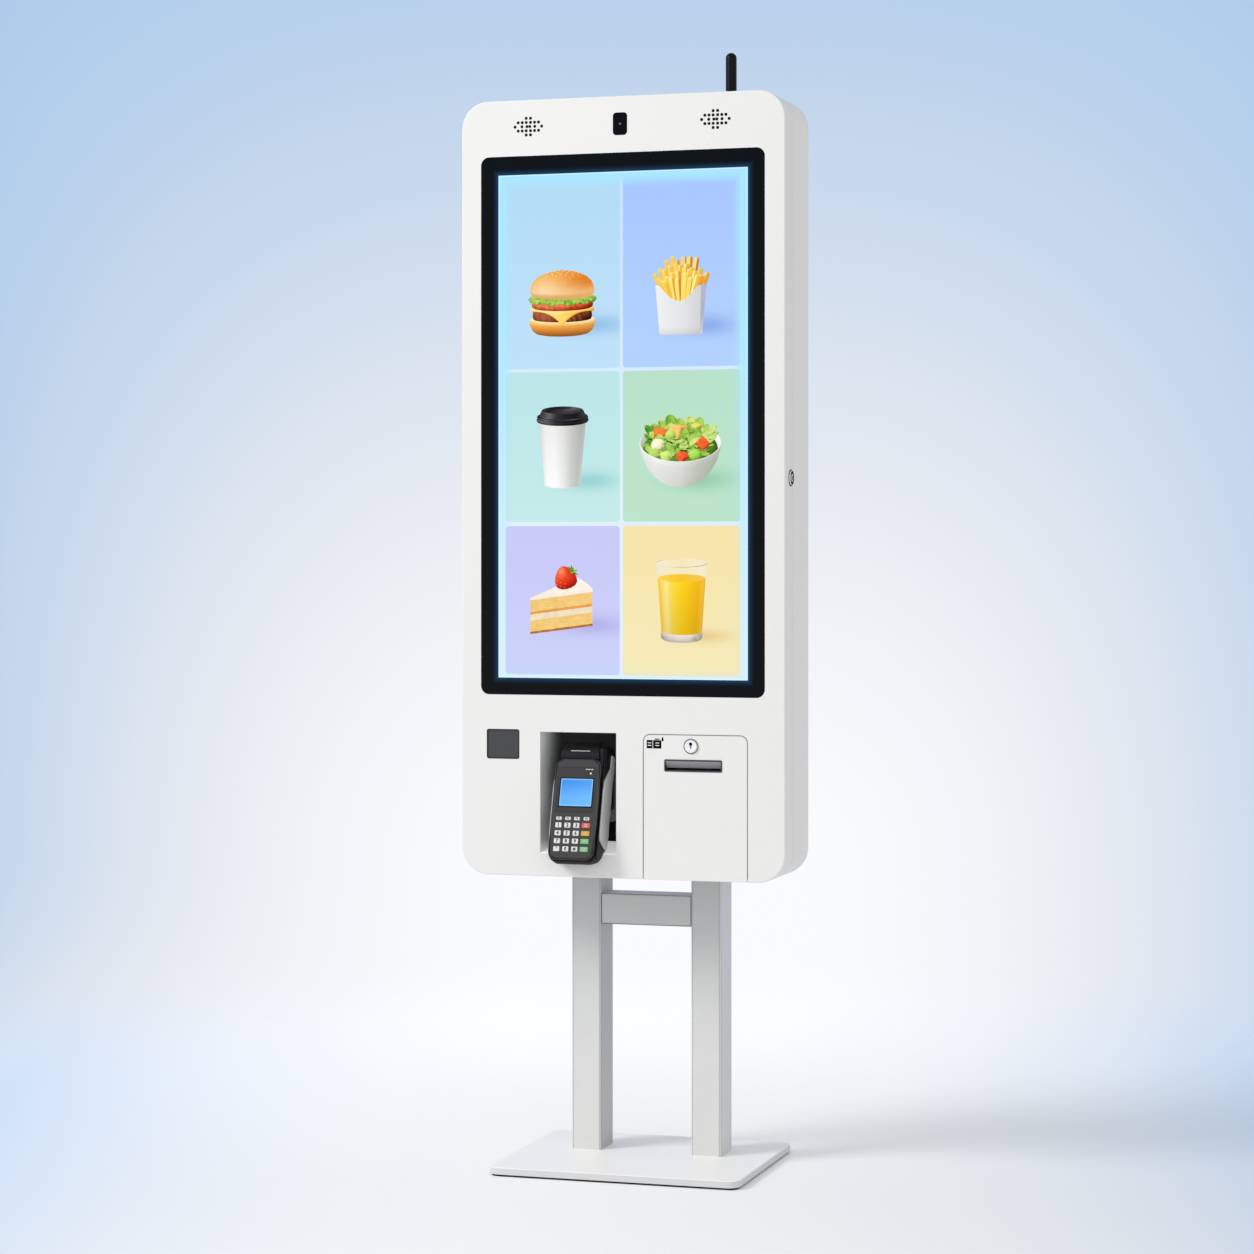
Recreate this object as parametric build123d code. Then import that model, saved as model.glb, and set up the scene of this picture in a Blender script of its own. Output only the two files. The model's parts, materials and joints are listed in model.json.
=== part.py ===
from build123d import *
import os
from math import cos, sin, radians

# Self checkout kiosk in millimetres: +X right, +Y back, +Z up.
# The origin is the middle of the base's underside.

# Cabinet
body_width, body_height, body_depth = 485.0, 1122.0, 139.0
body_corner = 40.0
body_bottom = 427.5
front_y = -107.5
sheet = 2.5                    # thickness of the cabinet's walls
seam_depth = 44.5              # the front shell's share of the depth
seam_gap = 0.5                 # half the gap between the two shells
lip_reach, lip_gap = 6.0, 0.5  # the rear cover's lip inside the front shell

# Stand
plate_width, plate_depth, plate_thick, plate_corner = 373.0, 314.0, 10.0, 17.0
pad_thick, pad_inset = 3.0, 3.0
post_width, post_depth, post_wall = 45.5, 60.0, 2.5
post_outer_x = 114.5
post_top = 985.0
post_recess = 16.0             # how far the posts nest into the cabinet's back
recess_half, recess_top = 122.0, 1000.0
beam_low, beam_high, beam_set_back, beam_depth, beam_step = 347.0, 392.0, 1.5, 50.0, 1.2
bolt_radius, bolt_clearance = 4.0, 0.2
mount_bolt_heights = (670.0, 770.0, 870.0, 960.0)

# Screen
glass_width, glass_height, glass_corner, glass_thick = 425.0, 778.5, 12.0, 4.0
glass_z = 1078.75
glass_gap = 0.4

# Small parts of the front
speaker_x, speaker_z, speaker_hole = 140.3, 1510.7, 1.5
speaker_rows = {0.0: (2.2, 9.8, 20.3), 6.0: (3.3, 9.4, 15.5), 12.0: (3.3,)}
eye_x, eye_z, eye_width, eye_height, eye_corner = -1.6, 1509.5, 21.0, 32.0, 5.0
scan_x, scan_z, scan_width, scan_height, scan_corner = -179.0, 617.5, 49.6, 42.6, 3.0
niche_left, niche_right, niche_low, niche_high = -122.3, -7.3, 461.0, 636.0
niche_back, niche_rise, niche_wall = 5.5, 8.5, 2.0
hatch_left, hatch_right, hatch_high, hatch_corner = 32.6, 188.1, 635.7, 11.0
hatch_gap = 1.2
hatch_axis_y, hatch_axis_z = -101.0, 434.0
notch_y = -92.0                # back of the notch under the printer door
mouth_x, mouth_z, mouth_width, mouth_height = 107.4, 591.15, 85.8, 17.5
slit_drop, slit_height = 4.2, 4.6
hatch_lock_x, hatch_lock_z = 104.3, 618.9
side_lock_depth, side_lock_z = 31.5, 1001.0
keeper_radius, keeper_reach, keeper_length = 2.5, 22.0, 19.0

# Door hinges on the left side
hinge_offset, knuckle_radius, hinge_pin_radius = 4.0, 3.9, 2.0
hinge_clearance = 0.05
hinge_heights = (540.0, 990.0, 1440.0)

# Card terminal
terminal_tilt = 16.6
terminal_foot = (-64.8, -145.8, 452.0)
terminal_half, terminal_left = 38.0, 35.5   # the swipe rail makes the right side wider
terminal_long, terminal_thick = 184.0, 50.0
face_thick = 5.0
key_columns = (-22.0, -8.4, 5.1, 19.4)
key_rows = (54.4, 42.9, 31.4, 19.9)
key_tall, white_key, colour_key = 7.6, 9.4, 12.6
function_row, function_tall, function_key = 64.3, 5.0, 8.6
key_proud, key_deep, key_gap, key_travel = 1.2, 1.6, 0.25, 0.8
cover_pin_v, cover_pin_w = 178.4, -33.0
swipe_u, swipe_deep = 35.9, 11.0   # the magnetic card's groove along the right side

# Printer and paper
printer_left, printer_right = 56.0, 159.0
roll_y, roll_z, roll_radius, roll_width = -58.0, 536.0, 28.0, 80.0
spindle_radius = 6.0

# Mains inlet on the back
inlet_x, inlet_z = -180.0, 505.0
rocker_up, socket_down = 17.0, 12.0
rocker_in, trunnion_radius = 4.5, 1.6

# Antenna
antenna_x, antenna_y = 131.0, 12.0
antenna_pivot, antenna_top, antenna_radius = 1560.5, 1622.5, 8.0

# Values worked out from the ones above
back_y = front_y + body_depth
seam_y = front_y + seam_depth
body_mid = body_bottom + body_height / 2
body_top = body_bottom + body_height
half_body = body_width / 2
plate_top = pad_thick + plate_thick
post_front = back_y - post_recess
post_mid = post_outer_x - post_width / 2
side_lock_y = front_y + side_lock_depth
rocker_z, socket_z = inlet_z + rocker_up, inlet_z - socket_down
rocker_axis_y = back_y - rocker_in
hinge_x = -half_body - hinge_offset
niche_x, niche_width = (niche_left + niche_right) / 2, niche_right - niche_left
hatch_x, hatch_width = (hatch_left + hatch_right) / 2, hatch_right - hatch_left
terminal_place = Plane(
    origin=terminal_foot, x_dir=(1, 0, 0),
    z_dir=(0, -cos(radians(terminal_tilt)), sin(radians(terminal_tilt))))
hatch_lock_place = Plane(origin=(hatch_lock_x, front_y, hatch_lock_z), x_dir=(1, 0, 0), z_dir=(0, -1, 0))
side_lock_place = Plane(origin=(half_body, side_lock_y, side_lock_z), x_dir=(0, 1, 0), z_dir=(1, 0, 0))

parts = {}


# ---- shapes used many times ----

def slab(outline, near, far):
    """A solid from y = near to y = far, with an outline drawn in X and Z."""
    return extrude(Plane.XZ.offset(-far) * outline, amount=far - near)


def cross(outline, left, right):
    """A solid from x = left to x = right, with an outline drawn in Y and Z."""
    return extrude(Plane.YZ.offset(left) * outline, amount=right - left)


def layer(outline, low, high):
    """A solid from z = low to z = high, with an outline drawn in X and Y."""
    return extrude(Plane.XY.offset(low) * outline, amount=high - low)


def panel(width, height, corner, x, z):
    return Pos(x, z) * RectangleRounded(width, height, corner)


def block(x0, x1, y0, y1, z0, z1):
    return Pos((x0 + x1) / 2, (y0 + y1) / 2, (z0 + z1) / 2) * Box(x1 - x0, y1 - y0, z1 - z0)


def body_outline(inset=0.0):
    return panel(body_width - 2 * inset, body_height - 2 * inset, body_corner - inset, 0, body_mid)


def hatch_outline(grow=0.0, low=body_bottom):
    """The printer door's outline: rounded at the top, square at the bottom."""
    high = hatch_high + grow
    width = hatch_width + 2 * grow
    corner = hatch_corner + grow
    arch = panel(width, 100.0, corner, hatch_x, high - 50.0)
    return arch + Pos(hatch_x, (low + high - corner) / 2) * Rectangle(width, high - corner - low)


def front_edges(solid):
    return solid.faces().sort_by(Axis.Y)[0].edges()


def back_edges(solid):
    return solid.faces().sort_by(Axis.Y)[-1].edges()


# ---- stand ----

def base_pad():
    width, depth = plate_width - 2 * pad_inset, plate_depth - 2 * pad_inset
    return layer(RectangleRounded(width, depth, plate_corner - pad_inset), 0, pad_thick)


def foot_bolt_places():
    middle = post_front + post_depth / 2
    return [(side * post_mid, middle + step) for side in (-1, 1) for step in (-17.0, 17.0)]


def base_plate():
    plate = layer(RectangleRounded(plate_width, plate_depth, plate_corner), pad_thick, plate_top)
    plate = fillet(plate.faces().sort_by(Axis.Z)[-1].edges(), 1.5)
    for x, y in foot_bolt_places():
        plate -= layer(Pos(x, y) * Circle(bolt_radius + bolt_clearance), pad_thick, plate_top)
        plate -= layer(Pos(x, y) * Circle(7.6), pad_thick, pad_thick + 6.0)
    return plate


def post(side):
    """A rectangular tube with a solid foot welded in and a closed top."""
    x, y = side * post_mid, post_front + post_depth / 2
    tube = layer(Pos(x, y) * RectangleRounded(post_width, post_depth, 3.0), plate_top, post_top)
    bore = Pos(x, y) * RectangleRounded(post_width - 2 * post_wall, post_depth - 2 * post_wall, 1.0)
    tube -= layer(bore, plate_top + 22.0, post_top - 3.0)
    for bolt_x, bolt_y in foot_bolt_places():
        if bolt_x == x:
            tube -= layer(Pos(bolt_x, bolt_y) * Circle(bolt_radius + bolt_clearance),
                          plate_top, plate_top + 17.0)
    for z in mount_bolt_heights:
        tube -= slab(Pos(x, z) * Circle(bolt_radius + bolt_clearance),
                     post_front - 1.0, post_front + post_wall + 1.0)
    return tube


def cross_beam():
    """A hollow beam whose ends step in, for a shadow line where they meet the posts."""
    reach = post_outer_x - post_width
    near = post_front + beam_set_back
    middle_y, middle_z = near + beam_depth / 2, (beam_low + beam_high) / 2
    height = beam_high - beam_low
    middle = Pos(middle_y, middle_z)
    outer = middle * RectangleRounded(beam_depth, height, 2.5)
    neck = middle * Rectangle(beam_depth - 2 * beam_step, height - 2 * beam_step)
    inner = middle * Rectangle(beam_depth - 2 * post_wall, height - 2 * post_wall)
    beam = cross(outer, -reach + beam_step, reach - beam_step) + cross(neck, -reach, reach)
    return beam - cross(inner, -reach, reach)


def keeper_stud():
    """The stud on the right wall's inner face, which the side lock's hooked cam catches."""
    wall = half_body - sheet
    pin = Pos(side_lock_y + keeper_reach, side_lock_z) * Circle(keeper_radius)
    stud = cross(pin, wall - keeper_length, wall)
    return chamfer(stud.faces().sort_by(Axis.X)[0].edges(), 0.4)


def stand_bolts():
    """Foot bolts, mounting bolts through the cabinet's back, and the lock's keeper stud."""
    bolts = []
    for x, y in foot_bolt_places():
        shank = layer(Pos(x, y) * Circle(bolt_radius), pad_thick + 5.5, plate_top + 15.0)
        head = layer(Pos(x, y) * Circle(7.0), pad_thick + 0.5, pad_thick + 6.0)
        bolts.append(head + shank)
    inner_face = post_front - sheet - 3.0
    for side in (-1, 1):
        for z in mount_bolt_heights:
            shank = slab(Pos(side * post_mid, z) * Circle(bolt_radius), inner_face, post_front + 12.0)
            head = slab(Pos(side * post_mid, z) * Circle(7.0), inner_face - 4.5, inner_face)
            head -= slab(Pos(side * post_mid, z) * RegularPolygon(2.9, 6),
                         inner_face - 5.0, inner_face - 1.5)
            bolts.append(head + shank)
    return Compound(children=bolts + [keeper_stud()])


# ---- rear half of the cabinet ----

def vent_slots():
    """Two groups of rounded slots high on the back, and one low group."""
    cut = []
    for centre_x in (-130.0, 130.0):
        for row in range(9):
            z = 1380.0 + row * 11.0
            cut.append(slab(Pos(centre_x, z) * SlotOverall(90.0, 4.5), back_y - 5.0, back_y + 1.0))
    for row in range(6):
        z = 1040.0 + row * 11.0
        cut.append(slab(Pos(0, z) * SlotOverall(120.0, 4.5), back_y - 5.0, back_y + 1.0))
    return cut


def rear_cover():
    outer = slab(body_outline(), seam_y + seam_gap, back_y)
    outer = fillet(back_edges(outer), 4.0)
    cavity = slab(body_outline(sheet), seam_y - 1.0, back_y - sheet)
    recess = block(-recess_half, recess_half, post_front, back_y + 1, body_bottom - 1, recess_top)
    kept = block(-recess_half - sheet, recess_half + sheet, post_front - sheet, back_y + 1,
                 body_bottom - 1, recess_top + sheet)
    cover = outer - recess - (cavity - kept)
    lip_inset = sheet + lip_gap
    lip = slab(body_outline(lip_inset), seam_y - lip_reach, seam_y + 8.0)
    lip -= slab(body_outline(lip_inset + 2.0), seam_y - lip_reach, seam_y + 8.0)
    band = slab(body_outline(), seam_y + seam_gap, seam_y + 8.0)
    band -= slab(body_outline(lip_inset + 1.0), seam_y + seam_gap, seam_y + 8.0)
    cover = cover + lip + band
    cover -= block(200.0, half_body - sheet, seam_y - lip_reach - 1, seam_y + 9.0,
                   side_lock_z - 13.0, side_lock_z + 13.0)
    for slot in vent_slots():
        cover -= slot
    for side in (-1, 1):
        for z in mount_bolt_heights:
            cover -= slab(Pos(side * post_mid, z) * Circle(bolt_radius + bolt_clearance),
                          post_front - sheet - 1, post_front + 1)
    cover -= slab(panel(27.2, 59.2, 1.4, inlet_x, inlet_z), back_y - sheet - 1, back_y + 1)
    return cover


def mount_plate():
    """The steel plate that spreads the posts' load inside the cabinet."""
    face = post_front - sheet
    plate = slab(panel(228.0, 330.0, 8.0, 0, 815.0), face - 3.0, face)
    plate -= slab(panel(100.0, 60.0, 8.0, 0, 935.0), face - 4.0, face + 1.0)
    for side in (-1, 1):
        for z in mount_bolt_heights:
            plate -= slab(Pos(side * post_mid, z) * Circle(bolt_radius + bolt_clearance),
                          face - 4.0, face + 1.0)
    return plate


def power_inlet():
    """A combined mains inlet and switch housing, let into the back from behind."""
    flange = slab(panel(31.0, 64.0, 3.0, inlet_x, inlet_z), back_y, back_y + 2.0)
    flange = chamfer(back_edges(flange), 0.8)
    body = slab(panel(27.0, 59.0, 1.5, inlet_x, inlet_z), back_y - 26.0, back_y)
    housing = flange + body
    socket = Pos(inlet_x, socket_z) * Rectangle(24.4, 16.6)
    socket = chamfer(socket.vertices().group_by(Axis.Y)[-1], 4.0)
    housing -= slab(socket, back_y - 14.5, back_y + 3.0)
    housing -= slab(Pos(inlet_x, rocker_z) * Rectangle(21.0, 13.8), rocker_axis_y - 7.5, back_y + 3.0)
    housing -= layer(Pos(inlet_x, rocker_axis_y) * Circle(trunnion_radius + hinge_clearance),
                     rocker_z - 8.2, rocker_z + 8.2)
    for step, drop in ((-7.0, -2.0), (0.0, 2.0), (7.0, -2.0)):
        blade = panel(2.0, 4.0, 0.6, inlet_x + step, socket_z + drop)
        housing += slab(blade, back_y - 15.5, back_y - 3.5)
    return housing


def rocker_switch():
    """The rocker in its off position, tilted about its upright trunnions."""
    section = Polyline((-9, 5.5), (0, 4.0), (9, 5.5), (8.4, -3), (0, -5), (-8.4, -3), close=True)
    rocker = extrude(make_face(section), amount=6.6, both=True)
    rocker += Cylinder(trunnion_radius, 15.8)
    return Pos(inlet_x, rocker_axis_y, rocker_z) * Rot(0, 0, 9.0) * rocker


def computer_box():
    """The player computer: a finned case standing on four spacers."""
    back = back_y - sheet
    case = slab(panel(236.0, 156.0, 6.0, 0, 1190.0), back - 38.0, back - 8.0)
    for index in range(13):
        x = -102.0 + index * 17.0
        case += block(x - 2.0, x + 2.0, back - 46.0, back - 37.5, 1118.0, 1262.0)
    for side in (-1, 1):
        for up in (-1, 1):
            case += slab(Pos(side * 104.0, 1190.0 + up * 64.0) * Circle(5.0), back - 9.0, back)
    return case


def power_supply():
    """A mesh-topped supply on the mounting plate."""
    face = post_front - sheet - 3.0
    box = slab(panel(98.0, 150.0, 2.0, 0, 775.0), face - 34.0, face)
    for row in range(7):
        for column in range(5):
            spot = Pos(-32.0 + column * 16.0, 727.0 + row * 16.0) * RegularPolygon(5.0, 6)
            box -= slab(spot, face - 35.0, face - 31.5)
    return box


# ---- door hinges ----

def hinge_halves():
    """Three hinges: the cabinet's halves carry the pins, the door's halves turn on them."""
    fixed, moving = [], []
    for z in hinge_heights:
        ring = Pos(hinge_x, seam_y) * Circle(knuckle_radius)
        leaf_x0, leaf_x1 = -half_body - 2.0, -half_body
        case_half = layer(Pos(hinge_x, seam_y) * Circle(hinge_pin_radius), z - 29.0, z + 29.0)
        case_half += block(leaf_x0, leaf_x1, seam_y + 4.4, seam_y + 26.0, z - 30.0, z + 30.0)
        for low, high in ((z - 30.0, z - 10.1), (z + 10.1, z + 30.0)):
            case_half += layer(ring, low, high)
            case_half += block(leaf_x0, leaf_x1, seam_y + seam_gap, seam_y + 5.0, low, high)
        fixed.append(case_half)
        door_half = layer(ring, z - 10.0, z + 10.0)
        door_half += block(leaf_x0, leaf_x1, seam_y - 5.0, seam_y - seam_gap, z - 10.0, z + 10.0)
        door_half += block(leaf_x0, leaf_x1, seam_y - 26.0, seam_y - 4.4, z - 30.0, z + 30.0)
        bore = Pos(hinge_x, seam_y) * Circle(hinge_pin_radius + hinge_clearance)
        moving.append(door_half - layer(bore, z - 11.0, z + 11.0))
    return Compound(children=fixed), Compound(children=moving)


# ---- front half of the cabinet ----

def speaker_holes():
    holes = []
    for side in (-1, 1):
        for rise, steps in speaker_rows.items():
            heights = (speaker_z,) if rise == 0 else (speaker_z - rise, speaker_z + rise)
            for z in heights:
                for step in steps:
                    for x in (side * speaker_x - step, side * speaker_x + step):
                        holes.append(Pos(x, z) * Circle(speaker_hole))
    return holes


def hatch_brackets():
    """Two ears on the shell's floor, with the pins that the printer door turns on."""
    ears = []
    axis = Pos(hatch_axis_y, hatch_axis_z)
    for side in (-1, 1):
        outer = hatch_x + side * 66.0
        low_x, high_x = sorted((outer, outer - side * 3.0))
        nose = axis * Circle(3.5)
        arm = make_face(Polyline((hatch_axis_y, hatch_axis_z + 3.5), (notch_y + 1.0, body_bottom + 14.0),
                                 (notch_y + 12.0, body_bottom + sheet), (notch_y, body_bottom + sheet),
                                 (hatch_axis_y, hatch_axis_z - 3.5), close=True))
        ear = cross(nose + arm, low_x, high_x)
        pin_low, pin_high = sorted((outer, outer - side * 13.0))
        ears.append(ear + cross(axis * Circle(hinge_pin_radius), pin_low, pin_high))
    return ears


def front_shell():
    shell = slab(body_outline(), front_y, seam_y - seam_gap)
    shell = fillet(front_edges(shell), 2.0)
    shell -= slab(body_outline(sheet), front_y + sheet, seam_y)
    inner = front_y + sheet

    stop = slab(hatch_outline(7.0, hatch_axis_z + 8.0), inner, inner + 2.0)
    stop -= slab(hatch_outline(-5.0, body_bottom), inner - 1.0, inner + 3.0)
    shell += stop
    for x in (-228.0, 228.0):
        shell += block(x - 1.0, x + 1.0, inner, inner + 14.0, 690.0, 1470.0)

    cuts = [panel(glass_width + 2 * glass_gap, glass_height + 2 * glass_gap,
                  glass_corner + glass_gap, 0, glass_z),
            panel(eye_width + 0.6, eye_height + 0.6, eye_corner + 0.3, eye_x, eye_z),
            panel(scan_width + 0.6, scan_height + 0.6, scan_corner + 0.3, scan_x, scan_z),
            Pos(niche_x, (niche_low + niche_high) / 2) * Rectangle(niche_width, niche_high - niche_low),
            hatch_outline(0.0, body_bottom - 5.0)]
    for outline in cuts + speaker_holes():
        shell -= slab(outline, front_y - 1.0, inner)
    shell -= block(hatch_left, hatch_right, front_y - 1.0, notch_y, body_bottom - 1.0,
                   body_bottom + sheet)
    shell -= cross(Pos(side_lock_y, side_lock_z) * Circle(7.9), half_body - sheet - 1, half_body + 1)
    for ear in hatch_brackets():
        shell += ear
    return shell


def touch_glass():
    glass = slab(panel(glass_width, glass_height, glass_corner, 0, glass_z),
                 front_y, front_y + glass_thick)
    return chamfer(front_edges(glass), 0.4)


def lcd_module():
    """The display: a flanged tray behind the glass, with a driver box on its back."""
    near = front_y + sheet
    tray = slab(panel(glass_width + 20.0, glass_height + 20.0, 8.0, 0, glass_z), near, near + 10.0)
    tray += slab(panel(glass_width, glass_height, 6.0, 0, glass_z), near + 10.0, near + 24.0)
    tray += slab(panel(210.0, 130.0, 4.0, 0, glass_z), near + 24.0, near + 33.0)
    for z in (-260.0, 260.0):
        tray += slab(panel(360.0, 26.0, 4.0, 0, glass_z + z), near + 24.0, near + 28.0)
    seat = panel(glass_width + 2 * glass_gap, glass_height + 2 * glass_gap,
                 glass_corner + glass_gap, 0, glass_z)
    return tray - slab(seat, near - 1.0, front_y + glass_thick)


def speakers():
    near = front_y + sheet
    pair = []
    for side in (-1, 1):
        x = side * speaker_x
        flange = slab(panel(56.0, 32.0, 15.0, x, speaker_z), near, near + 1.5)
        wide = Plane.XZ.offset(-(near + 1.5)) * panel(48.0, 26.0, 12.9, x, speaker_z)
        narrow = Plane.XZ.offset(-(near + 15.0)) * (Pos(x, speaker_z) * Circle(11.0))
        magnet = slab(Pos(x, speaker_z) * Circle(12.5), near + 15.0, near + 23.0)
        pair.append(flange + loft([wide, narrow]) + magnet)
    return Compound(children=pair)


def camera_window():
    return slab(panel(eye_width, eye_height, eye_corner, eye_x, eye_z), front_y, front_y + sheet)


def camera_module():
    near = front_y + sheet
    body = slab(panel(36.0, 46.0, 3.0, eye_x, eye_z), near, near + 2.0)
    body += slab(panel(28.0, 28.0, 3.0, eye_x, eye_z), near + 2.0, near + 16.0)
    return body + slab(Pos(eye_x, eye_z) * Circle(9.0), near + 16.0, near + 20.0)


def scanner_module():
    """A scanner head: a rim that fills the opening and a hollow tapering hood."""
    near = front_y + sheet
    head = slab(panel(62.0, 56.0, 4.0, scan_x, scan_z), near, near + 2.5)
    head += slab(panel(scan_width, scan_height, scan_corner, scan_x, scan_z), front_y + 0.2, near)
    wide = Plane.XZ.offset(-(near + 2.5)) * panel(56.0, 50.0, 4.0, scan_x, scan_z)
    narrow = Plane.XZ.offset(-(near + 38.0)) * panel(44.0, 38.0, 4.0, scan_x, scan_z)
    head += loft([wide, narrow])
    head -= slab(panel(46.6, 39.6, 2.0, scan_x, scan_z), front_y, near + 1.0)
    mouth = Plane.XZ.offset(-near) * panel(43.0, 36.0, 2.0, scan_x, scan_z)
    throat = Plane.XZ.offset(-(near + 30.0)) * panel(30.0, 24.0, 2.0, scan_x, scan_z)
    return head - loft([mouth, throat])


def scanner_window():
    return slab(panel(46.4, 39.4, 1.9, scan_x, scan_z), front_y + 0.9, front_y + sheet + 1.0)


# ---- locks, drawn with the outside of the sheet at z = 0 and the key side up ----

def lock_barrel(length):
    head = fillet(Cylinder(10.0, 2.4, align=(Align.CENTER, Align.CENTER, Align.MIN)).edges()
                  .sort_by(Axis.Z)[-1], 1.0)
    barrel = head + Pos(0, 0, -length) * Cylinder(7.8, length, align=(Align.CENTER,) * 2 + (Align.MIN,))
    nut = extrude(Plane.XY.offset(-sheet - 2.5) * RegularPolygon(10.0, 6), amount=2.5)
    bore = Pos(0, 0, -length - 1) * Cylinder(6.0 + hinge_clearance, length + 5,
                                             align=(Align.CENTER, Align.CENTER, Align.MIN))
    return barrel + nut - bore


def lock_plug(length, cam):
    """A plug with a keyway, and a cam of the given outline on its tail."""
    low = -length - 3.5
    plug = Pos(0, 0, low) * Cylinder(6.0, 2.0 - low, align=(Align.CENTER, Align.CENTER, Align.MIN))
    keyway = Pos(0, 0, -4.0) * Box(1.6, 7.0, 8.0, align=(Align.CENTER, Align.CENTER, Align.MIN))
    entry = Pos(0, 0, -4.0) * Cylinder(1.9, 8.0, align=(Align.CENTER, Align.CENTER, Align.MIN))
    return plug - keyway - entry + extrude(Plane.XY.offset(-length - 2.5) * cam, amount=2.0)


def straight_cam():
    return Pos(8.5, 0) * RectangleRounded(31.0, 13.0, 5.0)


def hooked_cam():
    """An upright arm with a notch on its leading side, which closes on the keeper stud."""
    arm = Pos(0, 10.5) * RectangleRounded(15.0, 36.0, 5.0)
    notch = Pos(4.0, keeper_reach - 0.4) * Rectangle(14.0, 7.4)
    return arm - notch


# ---- printer door ----

def printer_door():
    door = slab(hatch_outline(-hatch_gap), front_y, front_y + sheet)
    door = chamfer(front_edges(door), 0.5)
    door -= slab(panel(84.2, 15.8, 1.5, mouth_x, mouth_z), front_y - 1, front_y + sheet + 1)
    door -= slab(Pos(hatch_lock_x, hatch_lock_z) * Circle(7.9), front_y - 1, front_y + sheet + 1)
    inner = front_y + sheet
    for x in (hatch_x - 62.0, hatch_x + 62.0):
        door += block(x - 1.0, x + 1.0, inner - 0.5, inner + 6.0, 450.0, 605.0)
    for side in (-1, 1):
        near_end, far_end = hatch_x + side * 62.7, hatch_x + side * 52.7
        low_x, high_x = sorted((near_end, far_end))
        knuckle = Pos(hatch_axis_y, hatch_axis_z) * Circle(3.5)
        web = Pos((inner - 0.5 + hatch_axis_y) / 2, hatch_axis_z) * Rectangle(
            hatch_axis_y - inner + 0.5, 7.0)
        bore = Pos(hatch_axis_y, hatch_axis_z) * Circle(hinge_pin_radius + hinge_clearance)
        door += cross(knuckle + web, low_x, high_x)
        door -= cross(bore, low_x - 1, high_x + 1)
    return door


def paper_bezel():
    """The receipt mouth: a frame with a long slope down to the narrow slot at its foot."""
    frame = slab(panel(mouth_width, mouth_height, 2.2, mouth_x, mouth_z), front_y - 0.9, front_y)
    frame = fillet(front_edges(frame), 0.6)
    frame += slab(panel(84.0, 15.6, 1.4, mouth_x, mouth_z), front_y, front_y + 15.0)
    wide = Plane.XZ.offset(-(front_y - 0.9)) * (Pos(mouth_x, mouth_z) * Rectangle(82.4, 13.8))
    slit = Pos(mouth_x, mouth_z - slit_drop) * Rectangle(80.4, slit_height)
    narrow = Plane.XZ.offset(-(front_y + 11.0)) * slit
    slot = slab(slit, front_y + 10.5, front_y + 16.0)
    return frame - loft([wide, narrow]) - slot


# ---- printer ----

def receipt_printer():
    """Two profiled side plates joined by the print head, the roller and a tray."""
    cheek = make_face(FilletPolyline(
        (-90, 607), (-58, 612), (-26, 575), (-24, 500), (-71, 500), (-71, 430), (-88, 430), (-90, 520),
        radius=4.0, close=True))
    left, right = printer_left, printer_right
    frame = cross(cheek, left, left + 2.5) + cross(cheek, right - 2.5, right)
    head = make_face(Polyline((-89, 590.6), (-89, 606), (-60, 610), (-56, 597), (-66, 590.6), close=True))
    throat = make_face(Polyline((-89, 570), (-89, 583.2), (-66, 583.2), (-58, 576), (-62, 570), close=True))
    tray = make_face(FilletPolyline((-86, 520), (-86, 502), (-27, 502), (-27, 560), (-29, 560), (-29, 504),
                                    (-84, 504), (-84, 520), radius=0.8, close=True))
    for section in (head, throat, tray):
        frame += cross(section, left + 2.0, right - 2.0)
    frame += cross(Pos(roll_y, roll_z) * Circle(spindle_radius), left + 2.0, right - 2.0)
    return frame


def receipt_roll():
    left = (printer_left + printer_right - roll_width) / 2
    roll = cross(Pos(roll_y, roll_z) * Circle(roll_radius), left, left + roll_width)
    hole = Pos(roll_y, roll_z) * Circle(spindle_radius + hinge_clearance)
    bore = cross(hole, left - 1.0, left + roll_width + 1.0)
    core = cross(Pos(roll_y, roll_z) * Circle(8.5), left - 1.0, left + roll_width + 1.0)
    return roll + core - bore


# ---- terminal and its niche ----

def terminal_niche():
    """An open-fronted box whose floor climbs towards the back."""
    inner = front_y + sheet
    flange = slab(Pos(niche_x, (niche_low + niche_high) / 2) * Rectangle(
        niche_width + 18.0, niche_high - niche_low + 18.0), inner, inner + 1.5)
    wall = niche_wall
    outside = make_face(Polyline((inner, niche_low - wall),
                                 (niche_back + wall, niche_low + niche_rise - wall),
                                 (niche_back + wall, niche_high + wall), (inner, niche_high + wall),
                                 close=True))
    inside = make_face(Polyline((inner - 2.0, niche_low), (inner, niche_low),
                                (niche_back, niche_low + niche_rise),
                                (niche_back, niche_high), (inner - 2.0, niche_high), close=True))
    box = cross(outside, niche_left - wall, niche_right + wall)
    return flange + box - cross(inside, niche_left, niche_right)


def terminal_cradle():
    """A bracket on the niche's back that carries the terminal by its back."""
    plate = Pos(0, 100.0, -terminal_thick - 2.0) * Box(46.0, 96.0, 3.0)
    plate = terminal_place.location * fillet(plate.edges().filter_by(Axis.Z), 6.0)
    x = terminal_foot[0]
    flange = slab(panel(46.0, 92.0, 6.0, x, 545.0), niche_back - 3.0, niche_back)
    gusset = make_face(Polyline((-63.4, 546.0), (niche_back - 2.0, 565.0), (niche_back - 2.0, 520.0),
                                (-74.5, 509.0), close=True))
    bracket = plate + flange
    for side in (-1, 1):
        bracket += cross(gusset, x + side * 20.0 - 1.25, x + side * 20.0 + 1.25)
    return bracket


def terminal_outline():
    middle = Pos((terminal_half - terminal_left) / 2, terminal_long / 2)
    return middle * RectangleRounded(terminal_half + terminal_left, terminal_long, 17.0)


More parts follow.
